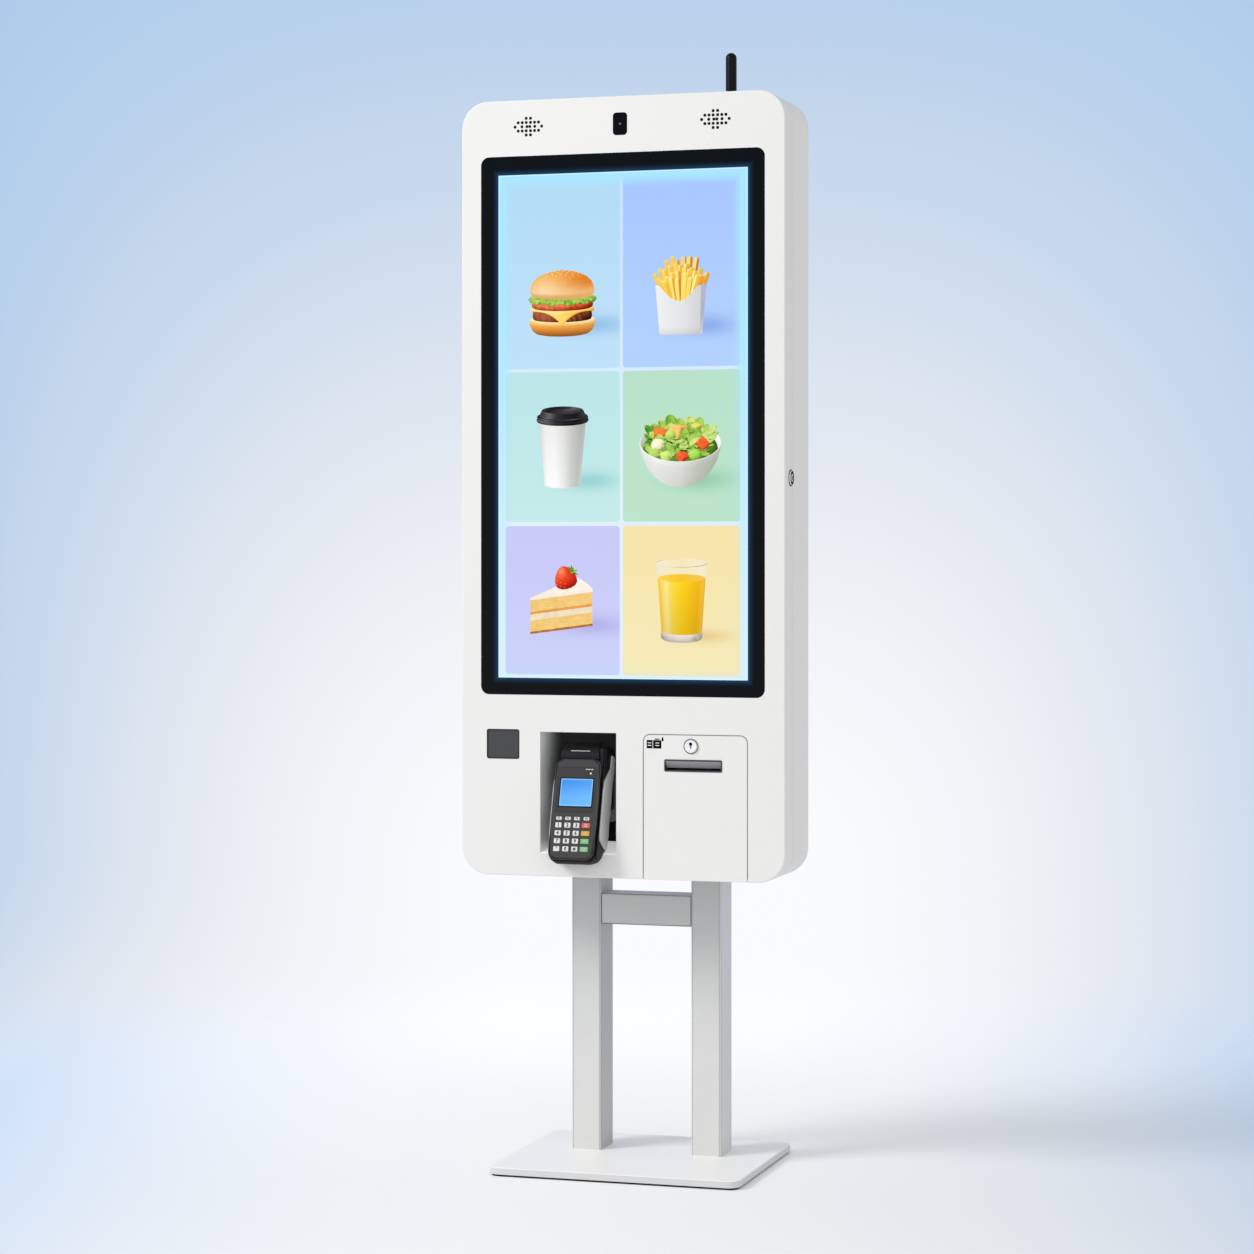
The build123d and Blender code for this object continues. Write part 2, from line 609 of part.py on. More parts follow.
def sideways(section, half):
    """A profile drawn in the terminal's length and height, spread across its width."""
    return extrude(Plane.YZ.offset(-half) * section, amount=2 * half)


def paper_bay():
    """The space for the paper roll under the terminal's cover."""
    well = Pos(157.5, -25.0) * Circle(17.5)
    mouth = Pos(157.5, -14.0) * Rectangle(33.0, 22.0)
    return sideways(well + mouth, 27.0)


def cover_section(grow=0.0):
    """The curved paper cover's wall, from its front edge round to its hinge."""
    front_v, out = 152.4 - grow, grow
    outer = ThreePointArc((front_v, -3.0 + out), (174.0 + out, -9.0 + out), (182.6 + out, -31.0))
    back = Line((182.6 + out, -31.0), (179.8 - out, -31.0))
    inner = ThreePointArc((179.8 - out, -31.0), (171.6 - out, -11.5 - out), (front_v, -6.0 - out))
    front = Line((front_v, -6.0 - out), (front_v, -3.0 + out))
    return make_face([outer, back, inner, front])


def cover_plan(grow=0.0):
    wide, narrow = 30.0 + grow, 24.5 + grow
    return make_face(Polyline((-wide, 150.0), (wide, 150.0), (narrow, 190.0), (-narrow, 190.0), close=True))


def terminal_base():
    """The terminal's lower shell: its plan and its side profile, cut into each other."""
    profile = make_face(FilletPolyline(
        (3, -5), (0, -14), (6, -24), (18, -31), (31, -47), (45, -50), (171, -50), (184, -40),
        (183, -20), (168, -5), radius=4.0, close=True))
    body = extrude(Plane.XY.offset(-terminal_thick) * terminal_outline(), amount=terminal_thick)
    body &= sideways(profile, terminal_half)
    body -= paper_bay()
    seat = sideways(make_face(Polyline((151.0, -7.5), (151.0, 0.0), (190.0, 0.0), (190.0, -38.0),
                                       (173.8, -38.0), (170.2, -14.0), close=True)), 40.0)
    room = extrude(Plane.XY.offset(-40.0) * cover_plan(0.9), amount=42.0)
    body -= seat & room
    left_shoulder = make_face(Polyline((-40.0, 142.0), (-terminal_left, 142.0), (-30.9, 151.0),
                                       (-25.4, 190.0), (-40.0, 190.0), close=True))
    body -= extrude(Plane.XY.offset(-22.0) * left_shoulder, amount=24.0)
    groove = Box(1.4, terminal_long + 2, swipe_deep + 2)
    body -= Pos(swipe_u, terminal_long / 2, -swipe_deep / 2 + 1) * groove
    body -= Pos(0, 13.0, -14.0) * Box(56.0, 30.0, 1.8)
    pin = Pos(cover_pin_v, cover_pin_w) * Circle(1.25)
    return body + sideways(pin, 29.0)


def terminal_cover():
    cover = sideways(cover_section(), 40.0) & extrude(Plane.XY.offset(-40.0) * cover_plan(), amount=42.0)
    for side in (-1, 1):
        ear = Pos(cover_pin_v, cover_pin_w) * Circle(2.9)
        tab = Pos(cover_pin_v + 2.1, -31.2) * Rectangle(4.0, 3.6)
        lug = sideways(ear + tab, 4.0)
        cover += Pos(side * 19.0, 0, 0) * lug
    cover -= sideways(Pos(cover_pin_v, cover_pin_w) * Circle(1.25 + hinge_clearance), 40.0)
    slit = Pos(0, 164.5, -5.0) * Box(30.0, 1.0, 6.0)
    return cover - slit


def face_outline():
    """The face's barrel-sided outline."""
    right = [(22, 6.5), (30.6, 10), (34.3, 56), (34.3, 98), (31, 145.5), (22, 151)]
    left = [(-u, v) for u, v in reversed(right)]
    return make_face(FilletPolyline(*right, *left, radius=4.0, close=True))


def key_table():
    """Every key's name, its middle and its width and height on the face."""
    keys = []
    for column, u in enumerate(key_columns):
        keys.append((f"function_key_{column + 1}", u, function_row, function_key, function_tall))
    for row, v in enumerate(key_rows):
        for column in range(3):
            number = row * 3 + column + 1
            keys.append((f"number_key_{number:02d}", key_columns[column], v, white_key, key_tall))
    for row, name in enumerate(("cancel_key", "clear_key", "menu_key", "enter_key")):
        keys.append((name, key_columns[3], key_rows[row], colour_key, key_tall))
    return keys


def terminal_face():
    plate = extrude(Plane.XY.offset(-face_thick) * face_outline(), amount=face_thick)
    plate = chamfer(plate.faces().sort_by(Axis.Z)[-1].edges(), 0.9)
    pocket = Pos(0, 106.5) * RectangleRounded(58.8, 67.0, 2.4)
    plate -= extrude(Plane.XY.offset(-1.6) * pocket, amount=2.0)
    for name, u, v, width, tall in key_table():
        well = Pos(u, v) * RectangleRounded(width + 2 * key_gap, tall + 2 * key_gap, 1.4)
        plate -= extrude(Plane.XY.offset(-key_deep - key_travel - 0.4) * well, amount=6.0)
    return plate


def terminal_lens():
    lens = Pos(0, 106.5) * RectangleRounded(58.4, 66.6, 2.2)
    return extrude(Plane.XY.offset(-1.6) * lens, amount=1.3)


def key_cap(u, v, width, tall):
    """One key: a rounded cap with slightly drawn-in sides and a broken top edge."""
    cap = Pos(u, v) * RectangleRounded(width, tall, 1.3)
    key = extrude(Plane.XY.offset(-key_deep) * cap, amount=key_deep + key_proud, taper=4)
    return chamfer(key.faces().sort_by(Axis.Z)[-1].edges(), 0.35)


def terminal_grips():
    """The grey grip rails on the terminal's two sides."""
    rail = make_face(FilletPolyline(
        (165, -31), (165, -43), (140, -47.5), (127, -43), (80, -46), (76, -43), (50, -45.5), (34, -44),
        (27, -37), (35, -10), (43, -7), (108, -6), (122, -8), (146, -31), radius=1.6, close=True))
    pair = []
    for side in (-1, 1):
        low = terminal_half if side > 0 else -terminal_left - 2.2
        solid = extrude(Plane.YZ.offset(low) * rail, amount=2.2)
        outer = solid.faces().sort_by(Axis.X)[-1 if side > 0 else 0]
        pair.append(chamfer(outer.edges(), 0.7))
    return Compound(children=pair)


# ---- antenna ----

def antenna_base():
    spot = Pos(antenna_x, antenna_y)
    base = layer(spot * Circle(6.0), body_top, body_top + 1.5)
    base += layer(spot * RegularPolygon(5.6, 6), body_top + 1.5, body_top + 4.0)
    return base + layer(spot * Circle(2.0), body_top + 4.0, body_top + 6.2)


def antenna_collar():
    """The swivel: a collar on the base's spigot with a fork for the rod."""
    spot = Pos(antenna_x, antenna_y)
    low = body_top + 4.0
    collar = layer(spot * Circle(4.6), low, low + 2.8)
    collar -= layer(spot * Circle(2.0 + hinge_clearance), low - 1.0, low + 2.4)
    ear = Pos(antenna_y, antenna_pivot) * Circle(4.2)
    ear += Pos(antenna_y, (low + 2.5 + antenna_pivot) / 2) * Rectangle(7.0, antenna_pivot - low - 2.5)
    for side in (-1, 1):
        near, far = sorted((antenna_x + side * 2.2, antenna_x + side * 4.2))
        collar += cross(ear, near, far)
    return collar + cross(Pos(antenna_y, antenna_pivot) * Circle(1.25), antenna_x - 3.0, antenna_x + 3.0)


def antenna_rod():
    """The whip: a turned body with a round end, on a flat tongue."""
    outline = Polyline((0, 4.9), (5.0, 4.9), (antenna_radius, 7.0))
    side = Line((antenna_radius, 7.0), (antenna_radius, antenna_top - antenna_pivot - antenna_radius))
    top = ThreePointArc(side @ 1, (antenna_radius * sin(radians(45)),
                                   antenna_top - antenna_pivot - antenna_radius * (1 - cos(radians(45)))),
                        (0, antenna_top - antenna_pivot))
    whip = revolve(Plane.XZ * make_face([outline, side, top, Line(top @ 1, (0, 4.9))]), Axis.Z)
    tongue = cross(Circle(3.8) + Pos(0, 3.0) * Rectangle(6.0, 6.0), -1.9, 1.9)
    tongue -= cross(Circle(1.25 + hinge_clearance), -3.0, 3.0)
    return Pos(antenna_x, antenna_y, antenna_pivot) * (whip + tongue)


# ---- the model ----

def build():
    parts["base_pad"] = base_pad()
    parts["base_plate"] = base_plate()
    parts["left_post"] = post(-1)
    parts["right_post"] = post(1)
    parts["cross_beam"] = cross_beam()
    parts["stand_bolts"] = stand_bolts()
    parts["rear_cover"] = rear_cover()
    parts["mount_plate"] = mount_plate()
    parts["power_inlet"] = power_inlet()
    parts["rocker_switch"] = rocker_switch()
    parts["computer_box"] = computer_box()
    parts["power_supply"] = power_supply()
    parts["hinge_case_halves"], parts["hinge_door_halves"] = hinge_halves()
    parts["front_shell"] = front_shell()
    parts["touch_glass"] = touch_glass()
    parts["lcd_module"] = lcd_module()
    parts["speakers"] = speakers()
    parts["camera_window"] = camera_window()
    parts["camera_module"] = camera_module()
    parts["scanner_window"] = scanner_window()
    parts["scanner_module"] = scanner_module()
    parts["side_lock_barrel"] = side_lock_place.location * lock_barrel(12.0)
    parts["side_lock_plug"] = side_lock_place.location * lock_plug(12.0, hooked_cam())
    parts["printer_lock_barrel"] = hatch_lock_place.location * lock_barrel(5.0)
    parts["printer_lock_plug"] = hatch_lock_place.location * lock_plug(5.0, straight_cam())
    parts["printer_door"] = printer_door()
    parts["paper_bezel"] = paper_bezel()
    parts["receipt_printer"] = receipt_printer()
    parts["receipt_roll"] = receipt_roll()
    parts["terminal_niche"] = terminal_niche()
    parts["terminal_cradle"] = terminal_cradle()
    on_terminal = {"terminal_base": terminal_base(), "terminal_face": terminal_face(),
                   "terminal_lens": terminal_lens(), "terminal_grips": terminal_grips(),
                   "terminal_cover": terminal_cover()}
    for name, u, v, width, tall in key_table():
        on_terminal[name] = key_cap(u, v, width, tall)
    for name, shape in on_terminal.items():
        parts[name] = terminal_place.location * shape
    parts["antenna_base"] = antenna_base()
    parts["antenna_collar"] = antenna_collar()
    parts["antenna_rod"] = antenna_rod()


build()
os.makedirs("parts", exist_ok=True)
for node, shape in parts.items():
    export_step(shape, f"parts/{node}.step")
print(len(parts), "parts")
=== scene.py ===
import json
import math

import bmesh
import bpy
from mathutils import Matrix, Vector, noise


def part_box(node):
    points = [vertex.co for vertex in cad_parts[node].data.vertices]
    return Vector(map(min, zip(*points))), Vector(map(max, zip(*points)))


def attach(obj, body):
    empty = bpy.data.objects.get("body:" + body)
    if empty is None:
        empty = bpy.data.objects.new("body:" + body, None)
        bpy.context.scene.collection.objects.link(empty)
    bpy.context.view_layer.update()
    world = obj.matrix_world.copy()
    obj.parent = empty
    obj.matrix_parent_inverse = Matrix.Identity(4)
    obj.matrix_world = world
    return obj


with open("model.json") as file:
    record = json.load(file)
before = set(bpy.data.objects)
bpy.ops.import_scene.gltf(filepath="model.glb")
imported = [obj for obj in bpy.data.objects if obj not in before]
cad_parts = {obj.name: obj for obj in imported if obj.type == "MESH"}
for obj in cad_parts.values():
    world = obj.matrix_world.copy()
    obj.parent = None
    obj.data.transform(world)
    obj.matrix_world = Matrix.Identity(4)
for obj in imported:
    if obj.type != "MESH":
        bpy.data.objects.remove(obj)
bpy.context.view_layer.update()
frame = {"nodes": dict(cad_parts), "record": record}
mm = 0.001
goldenAngle = 2.39996
up, front, side = Vector((0, 0, 1)), Vector((0, -1, 0)), Vector((1, 0, 0))
print("kiosk frame loaded:", len(frame["nodes"]), "nodes")


# camera, lamps and world

studio = {
    "cameraAt": (1.3688, -4.5195, 0.9014),
    "cameraTurn": 17.13,
    "lens": 92.54,
    "horizonShift": -0.063,
    "keyAt": (-3.1, -2.7, 3.3), "keySize": 1.8, "keyWatts": 112.0,
    "fillAt": (1.9, -3.6, 1.2), "fillSize": 2.6, "fillWatts": 16.0,
    "aimAt": (0.0, 0.0, 0.85),
    "skyLight": 0.60, "skyTone": (250, 252, 255),
    "skyRise": (-0.10, 0.285), "skyMiddle": 0.008, "skyAside": (0.04, 0.20), "skyFaded": (0.35, 0.70),
    "lowSky": (0.09, 0.17), "leftSky": (0.02, 0.14), "lowPaler": 0.45,
    "skyTones": [(0.0, (250, 251, 253)), (0.12, (240, 241, 245)), (0.345, (221, 229, 240)),
                 (0.56, (203, 218, 237)), (0.81, (182, 208, 235)), (1.0, (166, 198, 236))],
    "floorReach": 3.2, "floorTones": ((249, 249, 248), (197, 217, 243)), "floorCool": (0.15, 0.90),
    "floorGlow": 0.17, "glowNear": 0.3, "glowMore": 1.9, "glowSpan": (-0.6, 2.2), "floorFade": (0.45, 2.4),
}


def fromScreen(red, green, blue, alpha=1.0):
    # 0-255 display values to the linear values that sockets take
    linear = []
    for part in (red, green, blue):
        share = part / 255.0
        linear.append(share / 12.92 if share <= 0.04045 else ((share + 0.055) / 1.055) ** 2.4)
    return (*linear, alpha)


def newFinish(name):
    finish = bpy.data.materials.new(name)
    finish.use_nodes = True
    return finish, finish.node_tree, finish.node_tree.nodes["Principled BSDF"]


def setSockets(node, values):
    for name, value in values.items():
        node.inputs[name].default_value = value


def axesOf(tree, source="Object"):
    # the X, Y and Z of a place or a direction
    place = tree.nodes.new("ShaderNodeTexCoord")
    axes = tree.nodes.new("ShaderNodeSeparateXYZ")
    tree.links.new(place.outputs[source], axes.inputs[0])
    return axes.outputs


def unevenOf(tree, scale, detail=2.0):
    place = tree.nodes.new("ShaderNodeTexCoord")
    cloud = tree.nodes.new("ShaderNodeTexNoise")
    setSockets(cloud, {"Scale": scale, "Detail": detail})
    tree.links.new(place.outputs["Object"], cloud.inputs["Vector"])
    return cloud.outputs["Fac"]


def seenBy(tree):
    # 1 for what the camera sees, also in a reflection or through glass
    rays = tree.nodes.new("ShaderNodeLightPath")
    seen = calc(tree, "ADD", rays.outputs["Is Camera Ray"], rays.outputs["Is Glossy Ray"])
    return calc(tree, "ADD", seen, rays.outputs["Is Transmission Ray"], clamp=True)


def mixShaders(tree, share, first, second, target):
    mix = tree.nodes.new("ShaderNodeMixShader")
    for place, source in enumerate((share, first.outputs[0], second.outputs[0])):
        tree.links.new(source, mix.inputs[place])
    tree.links.new(mix.outputs[0], target.inputs["Surface"])


def calc(tree, operation, first, second=None, clamp=False):
    step = tree.nodes.new("ShaderNodeMath")
    step.operation = operation
    step.use_clamp = clamp
    for place, value in enumerate((first, second)):
        if value is None:
            continue
        if isinstance(value, (int, float)):
            step.inputs[place].default_value = value
        else:
            tree.links.new(value, step.inputs[place])
    return step.outputs[0]


def mixTones(tree, amount, low, high):
    # low and high are display colours or sockets
    mix = tree.nodes.new("ShaderNodeMix")
    mix.data_type = "RGBA"
    if isinstance(amount, (int, float)):
        mix.inputs[0].default_value = amount
    else:
        tree.links.new(amount, mix.inputs[0])
    for place, tone in ((6, low), (7, high)):
        if isinstance(tone, tuple):
            mix.inputs[place].default_value = fromScreen(*tone)
        else:
            tree.links.new(tone, mix.inputs[place])
    return mix.outputs[2]


def ramp(tree, amount, start, end):
    # 0 at start and 1 at end, smooth between them
    span = tree.nodes.new("ShaderNodeMapRange")
    span.interpolation_type = "SMOOTHSTEP"
    tree.links.new(amount, span.inputs["Value"])
    span.inputs["From Min"].default_value = start
    span.inputs["From Max"].default_value = end
    return span.outputs["Result"]


def aimLamp(name, place, target, size, watts):
    bpy.ops.object.light_add(type="AREA", location=place)
    lamp = bpy.context.object
    lamp.name = name
    lamp.data.shape = "DISK"
    lamp.data.size = size
    lamp.data.energy = watts
    lamp.rotation_euler = (Vector(target) - Vector(place)).to_track_quat("-Z", "Y").to_euler()


def makeStudio():
    bpy.ops.object.camera_add(location=studio["cameraAt"],
                              rotation=(math.radians(90), 0, math.radians(studio["cameraTurn"])))
    camera = bpy.context.object
    camera.data.lens = studio["lens"]
    camera.data.sensor_width = 36.0
    camera.data.shift_y = studio["horizonShift"]
    camera.data.clip_end = 200.0
    bpy.context.scene.camera = camera

    aimLamp("keyLamp", studio["keyAt"], studio["aimAt"], studio["keySize"], studio["keyWatts"])
    aimLamp("fillLamp", studio["fillAt"], studio["aimAt"], studio["fillSize"], studio["fillWatts"])

    world = bpy.data.worlds.new("paleSky")
    bpy.context.scene.world = world
    world.use_nodes = True
    tree = world.node_tree
    tree.nodes.clear()
    shown = tree.nodes.new("ShaderNodeBackground")
    tree.links.new(skyTone(tree), shown.inputs["Color"])
    plain = tree.nodes.new("ShaderNodeBackground")
    setSockets(plain, {"Color": fromScreen(*studio["skyTone"]), "Strength": studio["skyLight"]})
    mixShaders(tree, seenBy(tree), plain, shown, tree.nodes.new("ShaderNodeOutputWorld"))
    bpy.context.scene.view_settings.view_transform = "Standard"


def alongAxes(tree, source):
    # how far a direction or a place lies to the camera's right and away from it, in the world's axes
    axes, turn = axesOf(tree, source), math.radians(studio["cameraTurn"])
    right = calc(tree, "ADD", calc(tree, "MULTIPLY", axes["X"], math.cos(turn)),
                 calc(tree, "MULTIPLY", axes["Y"], math.sin(turn)))
    away = calc(tree, "SUBTRACT", calc(tree, "MULTIPLY", axes["Y"], math.cos(turn)),
                calc(tree, "MULTIPLY", axes["X"], math.sin(turn)))
    return right, away, axes["Z"]


def lessen(tree, share):
    return calc(tree, "SUBTRACT", 1.0, share)


def growing(tree, amount, start, reach):
    # 0 up to start, then the square of the way to start + reach, at most 1
    share = calc(tree, "DIVIDE", calc(tree, "SUBTRACT", amount, start), reach, clamp=True)
    return calc(tree, "MULTIPLY", share, share)


def skyTone(tree):
    # nearly white round the middle and below, pale blue above and to the sides of the view
    right, away, height = alongAxes(tree, "Generated")
    rise = ramp(tree, height, *studio["skyRise"])
    across = calc(tree, "ABSOLUTE", calc(tree, "SUBTRACT", right, studio["skyMiddle"]))
    aside = calc(tree, "MULTIPLY", growing(tree, across, *studio["skyAside"]),
                 lessen(tree, ramp(tree, across, *studio["skyFaded"])))
    # paler low on the left
    low = calc(tree, "MULTIPLY", ramp(tree, calc(tree, "MULTIPLY", height, -1.0), *studio["lowSky"]),
               ramp(tree, calc(tree, "MULTIPLY", right, -1.0), *studio["leftSky"]))
    aside = calc(tree, "MULTIPLY", aside, lessen(tree, calc(tree, "MULTIPLY", low, studio["lowPaler"])))
    pale = calc(tree, "MULTIPLY", lessen(tree, rise), lessen(tree, aside))
    tint = tree.nodes.new("ShaderNodeValToRGB")
    tree.links.new(lessen(tree, pale), tint.inputs[0])
    stops = tint.color_ramp.elements
    first, *between, last = studio["skyTones"]
    stops[0].color, stops[1].color = fromScreen(*first[1]), fromScreen(*last[1])
    for share, colour in between:
        stops.new(share).color = fromScreen(*colour)
    return tint.outputs["Color"]


def layFloor():
    # a round pale floor, cooler to the sides, that fades out far from the kiosk
    bpy.ops.mesh.primitive_circle_add(vertices=96, radius=studio["floorReach"], fill_type="NGON")
    floor = bpy.context.object
    floor.name = "studioFloor"
    finish, tree, surface = newFinish("paleFloor")
    setSockets(surface, {"Roughness": 0.7, "Specular IOR Level": 0.15})
    right, away, height = alongAxes(tree, "Object")
    cool = growing(tree, calc(tree, "ABSOLUTE", right), *studio["floorCool"])
    tone = mixTones(tree, cool, *studio["floorTones"])
    tree.links.new(tone, surface.inputs["Base Color"])
    # the camera sees the middle of the floor as bright as the backdrop behind it
    far = calc(tree, "MULTIPLY", ramp(tree, away, *studio["glowSpan"]), studio["glowMore"])
    far = calc(tree, "ADD", studio["glowNear"], far)
    glow = calc(tree, "MULTIPLY", calc(tree, "MULTIPLY", seenBy(tree), far), studio["floorGlow"])
    tree.links.new(tone, surface.inputs["Emission Color"])
    tree.links.new(glow, surface.inputs["Emission Strength"])
    place = tree.nodes.new("ShaderNodeTexCoord")
    length = tree.nodes.new("ShaderNodeVectorMath")
    length.operation = "LENGTH"
    tree.links.new(place.outputs["Object"], length.inputs[0])
    faded = ramp(tree, length.outputs["Value"], *studio["floorFade"])
    clear = tree.nodes.new("ShaderNodeBsdfTransparent")
    mixShaders(tree, faded, surface, clear, tree.nodes["Material Output"])
    floor.data.materials.append(finish)


makeStudio()
layFloor()
print("studio ready")


# finishes of the CAD nodes: tone, unevenness, roughness, grain, bump in millimetres and what else a finish has, among
# it painted shade and painted glow

finishes = {
    "rubber": ((24, 24, 25), 0.10, 0.85, 700, 0.06),
    # the plate's edge faces darker than its top: painted shade; its lift is a painted glow
    "base_paint": ((218, 217, 217), 0.015, 0.42, 1500, 0.02,
                   {"gloss": 0.3, "lift": 0.035, "bands": [(0.0118, 0.0126, (255, 252, 248))]}),
    # darker high up under the cabinet and on the faces turned to the right, most on the left post: painted shade
    "post_paint": ((225, 224, 222), 0.02, 0.45, 1500, 0.02,
                   {"gloss": 0.25, "bands": [(0.14, 0.45, (194, 193, 192))],
                    "sides": [(190, 190, 190), (222, 221, 219)]}),
    # the faces turned to the right paler and warmer: painted light on the kiosk's shaded side
    "body_paint": ((244, 242, 238), 0.012, 0.40, 1300, 0.015,
                   {"gloss": 0.3, "sides": [(255, 248, 239), (255, 248, 239)]}),
    # painted shade in the niche: white on its floor, darker just above it and paler towards the top, and darker
    # further in
    "niche_paint": ((255, 255, 253), 0.02, 0.5, 1300, 0.02,
                    {"gloss": 0.3, "deep": (-0.085, 0.0, (120, 120, 121)),
                     "bands": [(0.462, 0.482, (180, 180, 179)), (0.49, 0.56, (228, 228, 227)),
                               (0.56, 0.61, (255, 255, 253))]}),
    "steel": ((168, 170, 173), 0.10, 0.34, 240, 0.01, {"metal": 1.0}),
    "supply_case": ((172, 175, 177), 0.14, 0.38, 90, 0.01, {"metal": 1.0}),
    "lcd_case": ((158, 160, 163), 0.08, 0.36, 160, 0.01, {"metal": 1.0}),
    # bright and less metallic than chrome, with a painted glow as its lift
    "chrome": ((246, 245, 243), 0.03, 0.30, 900, 0.004, {"metal": 0.2, "lift": 0.11}),
    "computer_case": ((38, 39, 42), 0.06, 0.42, 1400, 0.02),
    "printer_case": ((62, 63, 66), 0.06, 0.45, 1500, 0.02),
    "black_plastic": ((12, 12, 12), 0.08, 0.30, 1900, 0.01, {"gloss": 0.14}),
    "switch_plastic": ((18, 18, 19), 0.06, 0.30, 1900, 0.015),
    "speaker_plastic": ((20, 20, 21), 0.08, 0.6, 1500, 0.04),
    "scanner_plastic": ((18, 18, 19), 0.06, 0.5, 1900, 0.03),
    "window_acrylic": ((9, 9, 10), 0.04, 0.2, 300, 0.0, {"gloss": 0.08}),
    "terminal_plastic": ((16, 15, 15), 0.08, 0.46, 2200, 0.035, {"gloss": 0.2}),
    "face_plastic": ((70, 67, 66), 0.05, 0.5, 2200, 0.03, {"gloss": 0.2}),
    "lens_acrylic": ((66, 64, 63), 0.04, 0.3, 300, 0.0, {"gloss": 0.15}),
    # pale grey, with a painted glow as its lift that lights the grips in the niche's shade
    "grip_plastic": ((198, 198, 197), 0.05, 0.55, 1700, 0.05, {"gloss": 0.2, "lift": 0.07}),
    "bezel_plastic": ((62, 62, 63), 0.05, 0.42, 1900, 0.03),
    "paper": ((246, 245, 241), 0.02, 0.85, 420, 0.03),
    "white_key": ((232, 232, 229), 0.03, 0.45, 2200, 0.02),
    "red_key": ((236, 98, 74), 0.03, 0.42, 2200, 0.02),
    "amber_key": ((233, 170, 36), 0.03, 0.42, 2200, 0.02),
    "green_key": ((130, 196, 122), 0.03, 0.42, 2200, 0.02),
    "scan_glass": ((64, 65, 64), 0.04, 0.22, 300, 0.0),
}


def makeFinish(name, look):
    base, vary, rough, size, height, *more = look
    more = more[0] if more else {}
    finish, tree, surface = newFinish(name)
    grain = unevenOf(tree, size)
    tone = mixTones(tree, unevenOf(tree, size / 90.0, 3.0), tuple(part * (1.0 - vary) for part in base), base)
    axes = axesOf(tree)
    for below, above, shade in more.get("bands", []):
        # another tone above a height, used for painted shade on the base plate, the posts and the niche
        tone = mixTones(tree, ramp(tree, axes["Z"], below, above), tone, shade)
    if "deep" in more:
        # painted shade: a darker tone further into the niche
        near, far, shade = more["deep"]
        tone = mixTones(tree, ramp(tree, axes["Y"], near, far), tone, shade)
    if "sides" in more:
        # painted light and shade: another tone on the faces turned to the right, one for the left of the kiosk and
        # one for its right
        shape = tree.nodes.new("ShaderNodeNewGeometry")
        normal = tree.nodes.new("ShaderNodeSeparateXYZ")
        tree.links.new(shape.outputs["Normal"], normal.inputs[0])
        flank = mixTones(tree, ramp(tree, axes["X"], -0.01, 0.01), *more["sides"])
        tone = mixTones(tree, ramp(tree, normal.outputs["X"], 0.3, 0.9), tone, flank)
    tree.links.new(tone, surface.inputs["Base Color"])
    spread = tree.nodes.new("ShaderNodeMapRange")
    tree.links.new(grain, spread.inputs["Value"])
    setSockets(spread, {"To Min": rough * 0.88, "To Max": rough * 1.12})
    tree.links.new(spread.outputs["Result"], surface.inputs["Roughness"])
    # the lift is a painted glow in the finish's own tone, on surfaces that are no lamps
    setSockets(surface, {"Metallic": more.get("metal", 0.0), "Specular IOR Level": more.get("gloss", 0.5),
                         "Emission Color": fromScreen(*base), "Emission Strength": more.get("lift", 0.0)})
    if height > 0:
        bump = tree.nodes.new("ShaderNodeBump")
        setSockets(bump, {"Strength": 0.35, "Distance": height * mm})
        tree.links.new(grain, bump.inputs["Height"])
        tree.links.new(bump.outputs["Normal"], surface.inputs["Normal"])
    return finish


def paintNodes():
    made = {slot: makeFinish(slot, look) for slot, look in finishes.items()}
    for part in frame["record"]["subparts"]:
        shown = frame["nodes"][part["node"]]
        finish = made.get(part["material_slot"])
        if part["node"] == "scanner_window":
            finish = made["scan_glass"]
        if finish:
            shown.data.materials.clear()
            shown.data.materials.append(finish)
    return made


made = paintNodes()
print("finishes on", len(frame["nodes"]), "nodes")


# small modelling steps used all over

def turned(degrees, axis):
    return Matrix.Rotation(math.radians(degrees), 4, axis)


def moved(place):
    # a shift by a place in millimetres
    return Matrix.Translation(Vector(place) * mm)


def startPiece(name):
    # names the primitive that was just added, with its place in its mesh
    piece = bpy.context.object
    piece.name = name
    bpy.ops.object.transform_apply(location=True, rotation=True, scale=True)
    return piece


def editFaces(piece, test):
    # edit mode with the faces selected whose middle and normal pass the test
    bpy.ops.object.select_all(action="DESELECT")
    piece.select_set(True)
    bpy.context.view_layer.objects.active = piece
    bpy.ops.object.mode_set(mode="EDIT")
    bpy.ops.mesh.select_mode(type="FACE")
    bpy.ops.mesh.select_all(action="DESELECT")
    mesh = bmesh.from_edit_mesh(piece.data)
    for face in mesh.faces:
        if test(face.calc_center_median(), face.normal):
            face.select_set(True)
    bmesh.update_edit_mesh(piece.data)


def pickAll():
    bpy.ops.mesh.select_all(action="SELECT")


def openMesh():
    # edit mode with everything selected
    bpy.ops.object.mode_set(mode="EDIT")
    pickAll()


def endEdit():
    bpy.ops.object.mode_set(mode="OBJECT")


def moveVertices(piece, shift):
    # shift gives each vertex its new place
    for vertex in piece.data.vertices:
        vertex.co = shift(vertex.co.copy())
    piece.data.update()


def copyPiece(piece, name, matrix):
    # a copy with its own mesh, moved by the matrix
    twin = piece.copy()
    twin.data = piece.data.copy()
    twin.name = name
    bpy.context.scene.collection.objects.link(twin)
    twin.data.transform(matrix)
    return twin


def joinPieces(pieces, name):
    bpy.ops.object.select_all(action="DESELECT")
    for piece in pieces:
        piece.select_set(True)
    bpy.context.view_layer.objects.active = pieces[0]
    if len(pieces) > 1:
        bpy.ops.object.join()
    whole = bpy.context.object
    whole.name = name
    return whole


